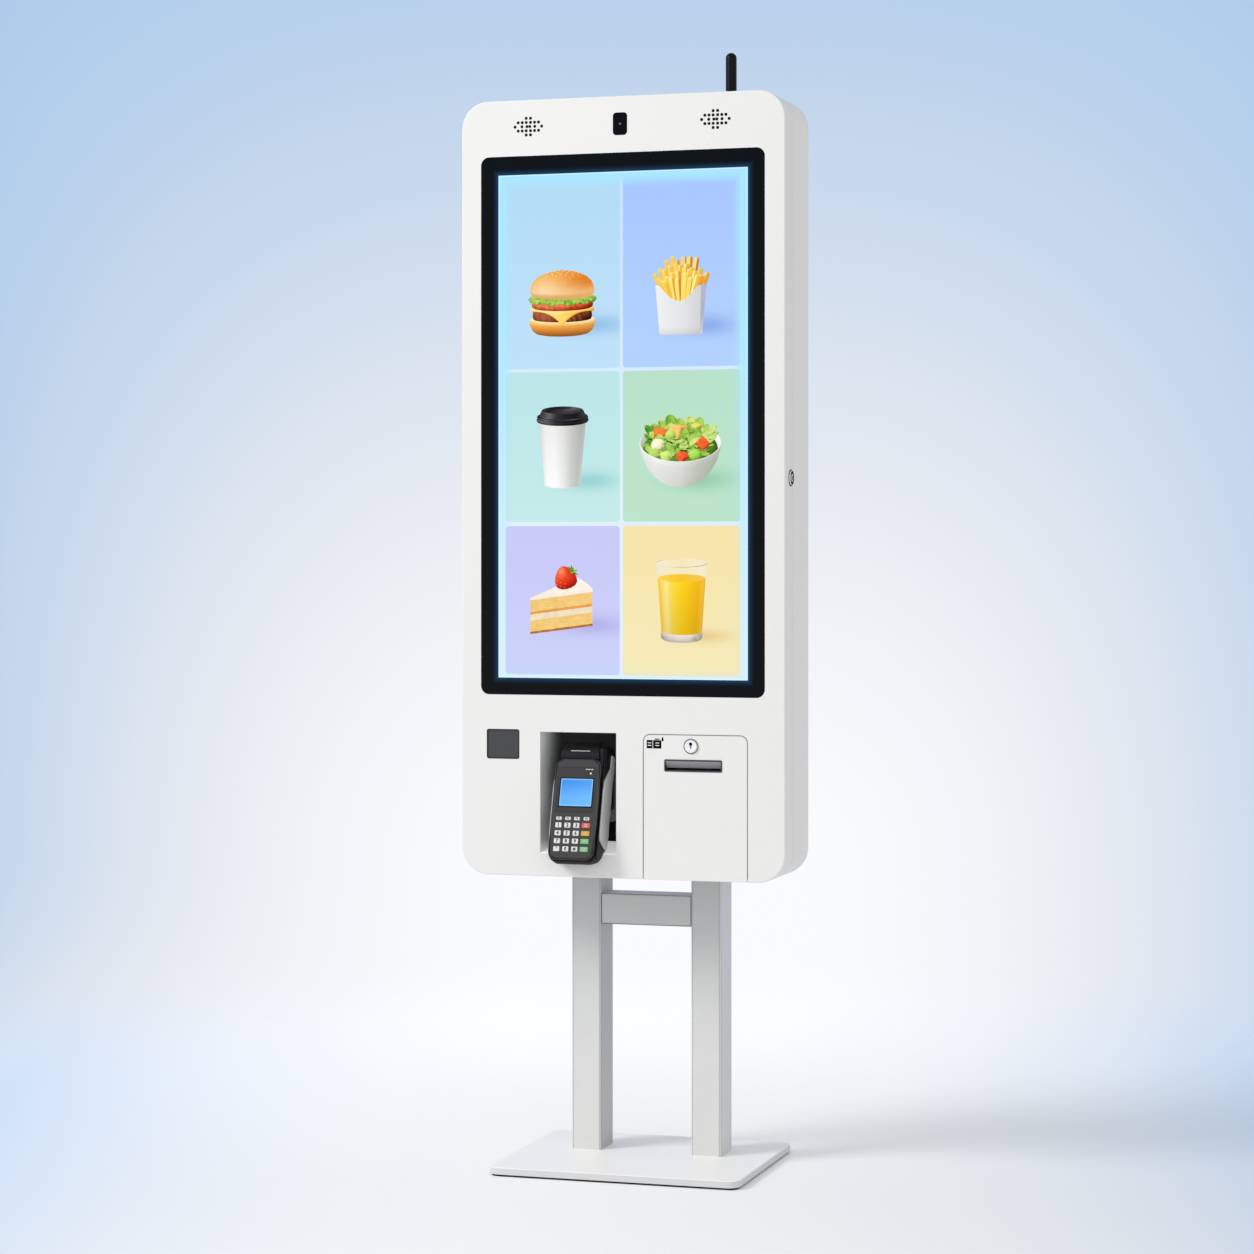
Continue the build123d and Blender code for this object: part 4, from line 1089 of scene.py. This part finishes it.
def bowlTone(place, normal):
    side = blend([(-1.0, (235, 238, 233)), (-0.6, (253, 253, 251)), (0.0, (240, 241, 236)), (0.5, (205, 210, 199)),
                  (1.0, (178, 188, 172))], normal.x)
    return scaled(side, 1.0 - 0.13 * max(0.0, -normal.z) + 0.05 * max(0.0, normal.z))


def makeSalad():
    parts = [(spun("saladBowl", salad["bowl"], steps=96), bowlTone, True)]
    bed = blob("saladBed", *salad["bed"], rings=12)
    parts.append((bed, lit([(-0.2, (44, 74, 18)), (0.9, (104, 146, 50))], 0.6, 3.0), True))
    leaf = makeLeaf("saladLeaf", *salad["leaf"])
    for count in range(salad["backLeaves"]):
        share = count / (salad["backLeaves"] - 1)
        angle = math.radians(salad["backFrom"] + salad["backArc"] * share)
        wide, deep = salad["backReach"]
        height = salad["backFoot"] + salad["backRise"] * math.sin(angle)
        spot = moved((wide * math.cos(angle), deep * math.sin(angle), height))
        turn = Matrix.Rotation(angle - math.radians(90), 4, "Z") @ turned(salad["backTip"], "X")
        size = 0.86 + 0.16 * math.sin(count * 2.3)
        piece = copyPiece(leaf, f"backLeaf{count}", spot @ turn @ Matrix.Scale(size, 4))
        parts.append((piece, greens(0.5 + 0.5 * math.sin(count * 1.9)), True))
    for count in range(salad["looseLeaves"]):
        angle = count * goldenAngle
        reach = salad["looseReach"] * math.sqrt((count + 0.5) / salad["looseLeaves"])
        height = salad["looseFoot"] + salad["looseRise"] * (1 - (reach / salad["looseSpan"]) ** 2)
        spot = moved((reach * math.cos(angle), reach * math.sin(angle), height))
        turn = Matrix.Rotation(count * 1.37, 4, "Z") @ turned(18 + 22 * math.sin(count * 2.9), "X")
        size = 0.74 + 0.18 * math.sin(count * 4.1)
        piece = copyPiece(leaf, f"looseLeaf{count}", spot @ turn @ Matrix.Scale(size, 4))
        parts.append((piece, greens(0.5 + 0.5 * math.sin(count * 3.7)), True))
    bpy.data.objects.remove(leaf)
    for count, (place, size, colour) in enumerate(salad["chunks"]):
        bpy.ops.mesh.primitive_cube_add(size=2, rotation=(0.5 + count, 0.4 * count, 0.9 * count))
        bpy.context.object.scale = (size * mm, size * 0.72 * mm, size * 0.8 * mm)
        chunk = startPiece(f"saladChunk{count}")
        bpy.ops.object.mode_set(mode="EDIT")
        pickAll()
        bpy.ops.mesh.bevel(offset=0.22 * size * mm, segments=3, affect="EDGES")
        pickAll()
        bpy.ops.mesh.subdivide(number_cuts=2)
        endEdit()
        chunk.data.transform(moved(place))
        tone = [(-0.3, scaled(colour, 0.72)), (0.35, colour), (0.95, scaled(colour, 1.08, 38))]
        parts.append((chunk, lit(tone, 0.28, 2.4), True))
    for count, (place, size, colour) in enumerate(salad["balls"]):
        ball = blob(f"saladBall{count}", (size, size, size * 0.85), place, rings=14)
        tone = [(-0.4, scaled(colour, 0.62)), (0.3, colour), (0.95, scaled(colour, 1.05, 26))]
        parts.append((ball, lit(tone, 0.32, 2.6), True))
    serve("salad", salad, parts)


makeSalad()
print("salad served")


# cake

cake = {
    "at": (-137.0, 777.0), "tip": 25,
    "long": 98.6, "nearAngle": 17.6, "farAngle": 43.8,
    "layers": [  # foot, top, overhang, kind
        (0.0, 3.5, 0.3, "crust"), (3.5, 21.5, 0.0, "sponge"), (21.5, 31.0, 0.3, "cream"), (31.0, 35.0, 0.0, "jam"),
        (35.0, 54.0, 0.0, "sponge"), (54.0, 58.0, 0.7, "icing"),
    ],
    "berry": [(0, 0), (3, 0.5), (8, 3.6), (12.8, 9.5), (16, 16.5), (17.2, 22.5), (16, 27.5), (11.5, 30.8), (5, 31.6),
              (0, 31.6)],
    "berryAt": (53, 31, 74), "berryLean": 42, "berryMiddle": 18, "berrySize": 17.2,
    "berrySeeds": 64, "seed": (0.45, 0.3, 0.75), "seedFoot": 3.5, "seedSpan": 25,
    "leaf": (11, 4.2, 0.9), "leafAt": 30.6, "leafTips": (28, 42),
}

cakeTones = {
    "crust": [(0.0, (140, 78, 32)), (0.5, (184, 114, 54)), (1.0, (214, 152, 82))],
    "sponge": [(0.0, (230, 180, 98)), (0.5, (245, 205, 124)), (1.0, (252, 222, 152))],
    "cream": [(0.0, (228, 206, 166)), (0.5, (240, 226, 196)), (1.0, (250, 242, 222))],
    "jam": [(0.0, (220, 134, 54)), (0.5, (236, 158, 78)), (1.0, (246, 186, 104))],
    "icing": [(0.0, (238, 222, 200)), (0.5, (248, 240, 228)), (1.0, (254, 251, 246))],
}


def layerTone(kind):
    def tone(place, normal):
        rough = 0.5 + (0.36 if kind in ("crust", "sponge", "jam") else 0.15) * noise.noise(place / (1.7 * mm))
        rough += 0.25 * noise.noise(place / (7 * mm))
        colour = blend(cakeTones[kind], rough)
        if normal.z > 0.7 and kind == "icing":
            return scaled(colour, level([(0.0, 0.985), (0.05, 1.0)], place.x) * 1.015)
        return scaled(colour, 0.86 if normal.x > 0.5 else 1.0)
    return tone


def berryTone(place, normal):
    value = normal.dot(shelf["light"])
    shine = max(0.0, normal.dot(Vector((-0.45, -0.70, 0.55)).normalized())) ** 14
    colour = blend([(-0.4, (150, 22, 14)), (0.1, (206, 40, 22)), (0.5, (230, 66, 36)), (0.9, (244, 104, 64))], value)
    return scaled(colour, 1.0, 60 * shine)


def makeCake():
    parts = []
    near, far, long = cake["nearAngle"], cake["farAngle"], cake["long"]
    for count, (low, high, over, kind) in enumerate(cake["layers"]):
        rim = [(0.0 - over, 0.0 - over)]
        for step in range(9):
            angle = math.radians(near + (far - near) * step / 8)
            rim.append(((long + over) * math.cos(angle), (long + over) * math.sin(angle) - over * (1 - step / 4)))
        layer = prism(f"cakeLayer{count}", rim, low, high)
        editFaces(layer, lambda middle, normal: normal.y < -0.3 or (normal.z > 0.7 and kind == "icing"))
        bpy.ops.mesh.subdivide(number_cuts=30)
        endEdit()
        parts.append((layer, layerTone(kind), False))
    berry = spun("cakeBerry", cake["berry"], steps=48)
    lean = turned(cake["berryLean"], "Y")
    place = moved(cake["berryAt"]) @ lean @ moved((0, 0, -cake["berryMiddle"]))
    berry.data.transform(place)
    parts.append((berry, berryTone, True))
    seed = blob("berrySeed", cake["seed"], (0, 0, 0), rings=4)
    moveVertices(seed, lambda spot: Vector((spot.x * (1 - 0.3 * spot.z / (cake["seed"][2] * mm)), spot.y, spot.z)))
    for count in range(cake["berrySeeds"]):
        height = cake["seedFoot"] + cake["seedSpan"] * (count + 0.5) / cake["berrySeeds"]
        angle = count * goldenAngle
        radius = cake["berrySize"] * math.sin(math.pi * min(1.0, 0.08 + 0.92 * height / 34)) ** 0.62
        spot = moved((radius * math.cos(angle), radius * math.sin(angle), height))
        seeds = copyPiece(seed, f"berrySeed{count}", place @ spot @ Matrix.Rotation(angle + 1.57, 4, "Z"))
        parts.append((seeds, lit([(0.0, (216, 140, 70)), (0.8, (252, 214, 140))]), True))
    bpy.data.objects.remove(seed)
    leaf = makeLeaf("berryLeaf", *cake["leaf"])
    for count in range(8):
        turn = turned(45 * count, "Z") @ turned(cake["leafTips"][count % 2], "X")
        stalk = place @ moved((0, 0, cake["leafAt"])) @ turn
        parts.append((copyPiece(leaf, f"berryLeaf{count}", stalk), greens(0.1 * (count % 3)), True))
    bpy.data.objects.remove(leaf)
    serve("cake", cake, parts)


makeCake()
print("cake served")


# juice

juice = {
    "at": (90.5, 770.5), "tip": 9.2,
    "glass": [(30.4, 2), (37.7, 111), (36.9, 111), (29.6, 2), (30.4, 2)],
    "base": [(0, 0), (26, 0), (29.4, 1.6), (30.8, 5), (31.2, 11.5), (0, 11.5)],
    "drink": [(0, 11.6), (29, 11.6), (30.2, 13.2), (35.4, 88.4), (35.0, 89.2), (0, 89.2)],
    "rim": (37.3, 0.42, 111.0),
}


def drinkTone(place, normal):
    if normal.z > 0.7:
        return blend([(-1.0, (255, 214, 76)), (0.0, (252, 198, 40)), (1.0, (246, 200, 92))], place.x / (35 * mm))
    colour = blend([(-1.0, (248, 200, 60)), (-0.8, (255, 226, 110)), (-0.66, (255, 236, 156)),
                    (-0.48, (255, 224, 88)), (-0.1, (255, 214, 36)), (0.3, (252, 202, 24)),
                    (0.7, (243, 184, 26)), (0.92, (246, 194, 56)), (1.0, (232, 172, 48))], normal.x)
    return scaled(colour, level([(0.008, 0.90), (0.020, 1.0)], place.z))


def glassTone(place, normal):
    return blend([(0.0, (247, 232, 188)), (0.45, (248, 236, 200)), (0.72, (243, 234, 208)), (0.88, (206, 201, 184)),
                  (1.0, (150, 147, 136))], abs(normal.x))


def baseTone(place, normal):
    colour = blend([(-1.0, (150, 138, 122)), (-0.8, (196, 184, 172)), (-0.55, (226, 216, 208)),
                    (-0.1, (240, 232, 226)), (0.4, (232, 224, 216)), (0.62, (176, 176, 162)),
                    (0.78, (212, 206, 186)), (1.0, (150, 142, 120))],
                   normal.x + 0.05 * noise.noise(place / (4 * mm)))
    return scaled(colour, 1.0 - 0.25 * max(0.0, -normal.z))


def makeJuice():
    glass = spun("juiceGlass", juice["glass"], steps=96)
    editFaces(glass, lambda middle, normal: middle.y < -1 * mm)
    bpy.ops.mesh.delete(type="FACE")
    endEdit()
    radius, thick, height = juice["rim"]
    bpy.ops.mesh.primitive_torus_add(major_radius=radius * mm, minor_radius=thick * mm, major_segments=120,
                                     minor_segments=8, location=(0, 0, height * mm))
    rim = startPiece("juiceRim")
    moveVertices(rim, lambda spot: Vector((spot.x, spot.y, height * mm + (spot.z - height * mm) * 1.3)))
    rimTone = lit([(-0.2, (150, 145, 130)), (0.4, (206, 200, 182)), (0.9, (255, 252, 244))], 0.3, 9.0)
    serve("juice", juice, [
        (glass, glassTone, True),
        (spun("juiceBase", juice["base"], steps=96), baseTone, True),
        (spun("juiceDrink", juice["drink"], steps=96), drinkTone, False),
        (rim, rimTone, True),
    ])


makeJuice()
print("juice served")


# the card terminal's screen, lamp, marks, key legends and a painted highlight round its face

joints = {joint["name"]: joint for joint in frame["record"]["behaviour"]["joints"]}
terminal = {
    # edges on the lens, and each plate's lift, thickness and corner
    "surround": (-25.6, 25.6, -25.6, 17.6), "surroundPlate": (0.66, 0.04, 1.0),
    "screen": (-24.0, 24.0, -23.9, 16.2), "screenPlate": (0.72, 0.08, 0.8),
    "screenTop": (70, 146, 242), "screenFoot": (112, 190, 255), "screenEdge": (150, 214, 255),
    "screenFall": 0.75, "screenAcross": 0.25, "line": (-0.0022, -0.0006), "lineShare": 0.8,
    "lamp": (19.5, 24.3), "lampSize": 1.3, "lampPlate": (0.66, 0.12),
    "lampTones": ((255, 244, 214), (255, 252, 240)), "lampGrain": 900.0,
    "bars": [(11.6, 14.4), (15.2, 18.6), (19.4, 22.8)], "barsAt": (29.4, 31.0), "barPlate": (0.66, 0.08),
    "paper": (-14.4, 14.4, 57.65, 58.35), "paperPlate": (-6.0, 4.0, 0.1),
    # a pale line round the face's outline: a painted highlight along its edge
    "rim": (-33.9, 33.9, -101.9, 44.2), "rimLift": 1.0, "rimCorner": 12.0, "rimThick": 0.35,
    "smallSign": 3.8, "bigSign": 6.8,
    "signs": {"function_key_1": "F1", "function_key_2": "F2", "function_key_3": "F3", "function_key_4": "F4",
              "cancel_key": "X", "clear_key": "<", "menu_key": "=", "enter_key": "O"},
    "ink": ((52, 52, 55), 0.10, 0.6, 2400, 0.0),
    "rimHighlight": ((92, 90, 89), 0.05, 0.5, 2400, 0.0, {"gloss": 0.3}),
    "paleInk": ((196, 197, 199), 0.06, 0.5, 2400, 0.0),
}


def screenTone(tree, screen):
    # deeper blue at the top left, paler towards the foot, with a pale line round it
    spots = [vertex.co for vertex in screen.data.vertices]
    low = Vector([min(spot[axis] for spot in spots) for axis in range(3)])
    high = Vector([max(spot[axis] for spot in spots) for axis in range(3)])
    axes = axesOf(tree)
    fall = lessen(tree, ramp(tree, axes["Z"], low.z + 0.008, high.z))
    across = ramp(tree, axes["X"], low.x, high.x)
    share = calc(tree, "ADD", calc(tree, "MULTIPLY", fall, terminal["screenFall"]),
                 calc(tree, "MULTIPLY", across, terminal["screenAcross"]))
    tone = mixTones(tree, share, terminal["screenTop"], terminal["screenFoot"])
    away = outlineDistance(tree, axes, (("X", low.x, high.x), ("Z", low.z, high.z)))
    line = ramp(tree, away, *terminal["line"])
    return mixTones(tree, calc(tree, "MULTIPLY", line, terminal["lineShare"]), tone, terminal["screenEdge"])


def lampTone(tree):
    return mixTones(tree, unevenOf(tree, terminal["lampGrain"]), *terminal["lampTones"])


def makeTerminal():
    ink, paleInk = makeFinish("darkInk", terminal["ink"]), makeFinish("paleInk", terminal["paleInk"])
    outward = -Vector(joints["enter_key_press"]["axis"])
    upward = outward.cross(side)
    lens = facing(boxMiddle("terminal_lens"), upward, outward)
    surround = plateOn("screenSurround", lens, terminal["surround"], *terminal["surroundPlate"])
    settle(surround, "front_door", made["window_acrylic"])
    screen = plateOn("terminalScreen", lens, terminal["screen"], *terminal["screenPlate"])
    settle(screen, "front_door",
           litSurface("terminalScreen", lambda tree: screenTone(tree, screen), rough=0.2))
    lamp = discOn("readyLamp", lens, terminal["lamp"], terminal["lampSize"], *terminal["lampPlate"])
    settle(lamp, "front_door", litSurface("readyLamp", lampTone))
    bars = [plateOn("lensBar", lens, (*bar, *terminal["barsAt"]), *terminal["barPlate"]) for bar in terminal["bars"]]
    settle(joinPieces(bars, "lensBars"), "front_door", paleInk)
    paper = plateOn("paperEdge", lens, terminal["paper"], *terminal["paperPlate"])
    settle(paper, "paper_cover", made["paper"])
    # a painted highlight: a pale line along the face's outline
    rim = rimOn("faceRimHighlight", lens, terminal["rim"], terminal["rimLift"], terminal["rimCorner"], terminal["rimThick"])
    settle(rim, "front_door", makeFinish("rimHighlight", terminal["rimHighlight"]))
    signs = dict(terminal["signs"])
    for number, sign in enumerate("123456789*0#"):
        signs[f"number_key_{number + 1:02d}"] = sign
    for key, sign in signs.items():
        tall = terminal["smallSign" if key.startswith("function") else "bigSign"]
        mark = signOn(key + "Sign", faceOf(key, upward, outward), sign, tall, 0.05)
        coloured = key.split("_")[0] in ("cancel", "clear", "menu", "enter")
        settle(mark, key + "_body", paleInk if coloured else ink)


makeTerminal()
print("terminal's screen lit, with", len(terminal["signs"]) + 12, "key signs")


# the niche's black back and pale floor, with painted shade and painted light, the hatch's marks, the locks, holes,
# seals, fold lines, joints, lines of painted shade on the posts, screws and the camera's lens

outside = {
    "nicheBack": (-56.8, 56.8, -78.0, 87.2), "nicheBackIn": -54.2,
    "nicheFloor": (-122.0, -7.6, -107.2, 5.0), "nicheFloorAt": 461.3, "nicheFloorRise": 8.5 / 113,
    "chuteEdges": (-40.9, 40.9, -3.6, 6.6), "chuteOut": 7.2, "chuteTop": 597.85, "chuteSlope": 0.85,
    "sign": [(-72.0, -63.2, 84.0, 96.0), (-62.4, -50.0, 84.0, 96.0), (-60.0, -53.0, 96.6, 98.2),
             (-49.6, -46.9, 94.5, 100.0)],
    "signLines": [(-70.4, 88.0), (-70.4, 91.6), (-59.0, 88.0), (-59.0, 91.6)], "signLine": (5.6, 0.8),
    "hatchGap": 0.6, "hatchFoot": 1.3, "hatchCorner": 10.6, "hatchSealIn": -0.7,
    "locks": [  # name, barrel, its side, its body and the plug's, ring, groove, the key slot's plates and disc
        ("hatch", "printer_lock_barrel", front, "printer_hatch", "printer_lock", (10.9, 0.3), (9.7, 9.1),
         [(-0.5, 0.5, -3.4, 2.2, 0.4), (0.0, 3.4, 2.5)]),
        # the side lock's second slot plate, lying to the back, is painted shade in the hollow of the lock
        ("side", "side_lock_barrel", side, "front_door", "side_lock", (12.0, 0.4), (9.9, 5.6),
         [(-0.6, 0.6, -3.6, 2.2, 0.4), (1.6, 4.8, -3.4, 3.4, 1.2)]),
    ],
    "ringIn": -2.4, "ringHole": 10.05, "slotIn": -0.38,
    "grilleAt": (140.3, 1510.7), "grilleRows": {0.0: (2.2, 9.8, 20.3), 6.0: (3.3, 9.4, 15.5), 12.0: (3.3,)},
    "grilleRim": 2.3, "grilleHole": 1.48, "felt": 1.44, "feltIn": -0.6,
    "seamAt": -63.0, "seamIn": 0.45, "seamCorner": 39.5, "seamThick": 0.42,
    "foldsAt": (11.0, 30.0), "foldHalf": 0.3, "foldEnd": 40.0,
    "beamJoint": (0.5, 0.3, -0.1, 0.8, 0.4),
    "postEdge": (2.6, 0.4), "flankEdge": (3.0, 0.5),
    "lensSize": 1.6, "lensOut": 1.26,
    "coverEdge": 20.0, "coverTop": 22.0, "coverScrew": 3.6,
    "leafAt": -244.5, "hingeHeights": (540.0, 990.0, 1440.0), "leafReach": 15.0, "leafRise": 20.0, "leafScrew": 3.2,
    "joint": ((112, 112, 113), 0.05, 0.7, 1900, 0.02, {"gloss": 0.1}),
    # the darker lines along the posts' rounded edges: painted shade
    "edge": ((170, 170, 170), 0.03, 0.5, 1500, 0.02, {"gloss": 0.2}),
    "fold": ((226, 222, 216), 0.02, 0.5, 1300, 0.01, {"gloss": 0.2}),
    "black": ((13, 13, 14), 0.10, 0.7, 900, 0.02, {"gloss": 0.1}),
    # pale with a strong painted glow: the niche's floor as if lit, and the lines of the printer sign
    "pale": ((240, 240, 239), 0.02, 0.5, 1300, 0.01, {"lift": 0.5}),
    # black, lighter grey high up: the panel at the niche's back
    "back": ((13, 13, 14), 0.10, 0.7, 900, 0.02, {"gloss": 0.1, "bands": [(0.580, 0.618, (92, 92, 93))]}),
    # grey with a painted glow, as if lit inside the paper mouth
    "chute": ((160, 160, 161), 0.05, 0.5, 1900, 0.02, {"lift": 0.14}),
    "seal": ((120, 120, 121), 0.05, 0.8, 1900, 0.02, {"gloss": 0.1}),
    "lens": ((110, 112, 118), 0.10, 0.3, 900, 0.0),
}


def screwSet(name, place, spots, radius, body, black):
    # screws as two pieces, the low round heads and the bars of their cross slots
    heads = [discOn("screwHead", place, spot, radius, 0.0, 0.5, steps=20) for spot in spots]
    long, short = 0.62 * radius, 0.14 * radius
    bars = [plateOn("screwSlot", place, (x - wide, x + wide, z - tall, z + tall), 0.5, 0.04, 0.1)
            for x, z in spots for wide, tall in ((long, short), (short, long))]
    settle(joinPieces(heads, name + "Heads"), body, made["steel"])
    settle(joinPieces(bars, name + "Slots"), body, black)


def linesOn(name, place, spots, half, tall):
    # thin upright lines
    return [plateOn(name, place, (spot - half, spot + half, -tall, tall), 0.01, 0.04, 0.1) for spot in spots]


def halfSize(node):
    low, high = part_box(node)
    return [edge / 2 / mm for edge in high - low]


def makeNiche(pale):
    niche = facing(boxMiddle("terminal_niche"), up, front)
    # a black panel across the niche's back: a black lining that also stands for the deep shade in the niche
    panel = plateOn("nichePanel", niche, outside["nicheBack"], outside["nicheBackIn"], 0.5, 0.4)
    settle(panel, "front_door", makeFinish("nicheBack", outside["back"]))
    # a pale floor plate rising to the back, which glows: painted light on the niche's shaded floor
    edges = outside["nicheFloor"]
    step = plateOn("nicheFloor", moved((0, 0, outside["nicheFloorAt"])), edges, 0.0, 0.3, 0.4)
    moveVertices(step, lambda spot: spot + up * (spot.y - edges[2] * mm) * outside["nicheFloorRise"])
    settle(step, "front_door", pale)


def makeHatch(black, pale):
    # the slope into the paper mouth, grey with a painted glow, a small printer sign and the seal in the groove round
    # the hatch
    mouth = facing(boxMiddle("paper_bezel"), up, front)
    chute = plateOn("paperChute", mouth, outside["chuteEdges"], outside["chuteOut"], 0.3, 0.3)
    moveVertices(chute, lambda spot: spot - front * (outside["chuteTop"] * mm - spot.z) * outside["chuteSlope"])
    settle(chute, "printer_hatch", makeFinish("chuteGlowGrey", outside["chute"]))
    door = faceOfBox("printer_door", front)
    sign = [plateOn("signPart", door, edges, 0.01, 0.06, 0.5) for edges in outside["sign"]]
    settle(joinPieces(sign, "printerSign"), "printer_hatch", black)
    long, tall = outside["signLine"]
    lines = [plateOn("signLine", door, (left, left + long, base, base + tall), 0.07, 0.04)
             for left, base in outside["signLines"]]
    settle(joinPieces(lines, "printerSignLines"), "printer_hatch", pale)
    wide, deep, tall = [half + outside["hatchGap"] for half in halfSize("printer_door")]
    seal = rimOn("hatchSeal", door, (-wide, wide, outside["hatchFoot"] - tall, tall), outside["hatchSealIn"],
                 outside["hatchCorner"], 0.5)
    settle(seal, "front_door", makeFinish("hatchSeal", outside["seal"]))


def makeLocks(black):
    for name, barrel, outward, body, plug, ring, groove, slot in outside["locks"]:
        lock = faceOfBox(barrel, outward)
        disc = discOn(name + "LockRing", lock, (0, 0), ring[0], outside["ringIn"], ring[1], hole=outside["ringHole"])
        settle(disc, body, black)
        settle(discOn(name + "LockGroove", lock, (0, 0), groove[0], 0.0, 0.04, hole=groove[1]), body, black)
        # black plates for the key slot, and on the side lock painted shade in its hollow
        parts = [plateOn("slotPart", lock, shape[:4], outside["slotIn"], 0.06, shape[4]) if len(shape) == 5 else
                 discOn("slotPart", lock, shape[:2], shape[2], outside["slotIn"], 0.06, steps=24) for shape in slot]
        settle(joinPieces(parts, name + "KeySlotAndShade"), plug, black)


def makeShells(black):
    # dark rims and felt at the speaker holes, the seal between the shells and the fold lines on the front shell
    shell = facing(Vector((0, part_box("front_shell")[0].y, 0)), up, front)
    middle, height = outside["grilleAt"]
    spots = sorted({(hand * (middle + toward * step), height + over * rise)
                    for rise, steps in outside["grilleRows"].items() for step in steps
                    for hand in (-1, 1) for toward in (-1, 1) for over in (-1, 1)})
    rims = [discOn("grilleRim", shell, spot, outside["grilleRim"], 0.01, 0.05, hole=outside["grilleHole"], steps=16)
            for spot in spots]
    felts = [discOn("grilleFelt", shell, spot, outside["felt"], outside["feltIn"], 0.2, steps=16) for spot in spots]
    settle(joinPieces(rims, "grilleRims"), "front_door", black)
    settle(joinPieces(felts, "grilleFelt"), "front_door", black)
    middle = boxMiddle("rear_cover")
    seam = facing(Vector((0, outside["seamAt"] * mm, middle.z)), up, front)
    wide, deep, tall = [half - outside["seamIn"] for half in halfSize("rear_cover")]
    seal = rimOn("caseSeal", seam, (-wide, wide, -tall, tall), 0.0, outside["seamCorner"], outside["seamThick"])
    settle(seal, "cabinet", makeFinish("caseSeal", outside["seal"]))
    wide, deep, tall = halfSize("front_shell")
    folds = []
    for hand in (-1, 1):
        insets = [hand * (inset - deep) for inset in outside["foldsAt"]]
        flank = faceOfBox("front_shell", side * hand)
        folds += linesOn("shellFold", flank, insets, outside["foldHalf"], tall - outside["foldEnd"])
    settle(joinPieces(folds, "shellFolds"), "front_door", makeFinish("shellFold", outside["fold"]))


def makeStand():
    # the joint round the beam and the darker lines along the posts' rounded edges, painted shade
    wide, deep, tall = halfSize("cross_beam")
    narrower, lower, lift, corner, thick = outside["beamJoint"]
    wide, tall = wide - narrower, tall - lower
    joint = rimOn("beamJoint", faceOfBox("cross_beam", front), (-wide, wide, -tall, tall), lift, corner, thick)
    settle(joint, "cabinet", makeFinish("beamJoint", outside["joint"]))
    for post in ("left_post", "right_post"):
        wide, deep, tall = halfSize(post)
        lines = []
        for outward, reach, (inset, half) in ((front, wide, outside["postEdge"]), (side, deep, outside["flankEdge"])):
            lines += linesOn("postEdgeShade", faceOfBox(post, outward), (inset - reach, reach - inset), half, tall)
        settle(joinPieces(lines, post + "Lines"), "cabinet", makeFinish(post + "Line", outside["edge"]))


def makeBack(black):
    # screws round the rear cover and on the hinge leaves
    wide, deep, tall = [half - outside["coverEdge"] for half in halfSize("rear_cover")]
    spots = [(hand * wide, share * (tall - outside["coverTop"])) for hand in (-1, 1)
             for share in (-1.0, -0.5, 0.0, 0.5, 1.0)]
    spots += [(share * wide, hand * tall) for hand in (-1, 1) for share in (-0.6, 0.6)]
    screwSet("coverScrew", faceOfBox("rear_cover", -front), spots, outside["coverScrew"], "cabinet", black)
    face = facing(Vector((outside["leafAt"] * mm, outside["seamAt"] * mm, 0)), up, -side)
    for name, body, hand in (("caseLeafScrew", "cabinet", -1), ("doorLeafScrew", "front_door", 1)):
        spots = [(hand * outside["leafReach"], height + rise) for height in outside["hingeHeights"]
                 for rise in (-outside["leafRise"], outside["leafRise"])]
        screwSet(name, face, spots, outside["leafScrew"], body, black)


def makeOutside():
    # the pale finish glows: painted light on the niche's floor and the sign's lines
    black, pale = makeFinish("blackLining", outside["black"]), makeFinish("paleGlowLining", outside["pale"])
    makeNiche(pale)
    makeHatch(black, pale)
    makeLocks(black)
    makeShells(black)
    makeStand()
    lens = discOn("cameraLens", facing(boxMiddle("camera_window"), up, front), (0, 0), outside["lensSize"],
                  outside["lensOut"], 0.05)
    settle(lens, "front_door", makeFinish("cameraLens", outside["lens"]))
    makeBack(black)


makeOutside()
print("niche lined, marks and lock rings on")
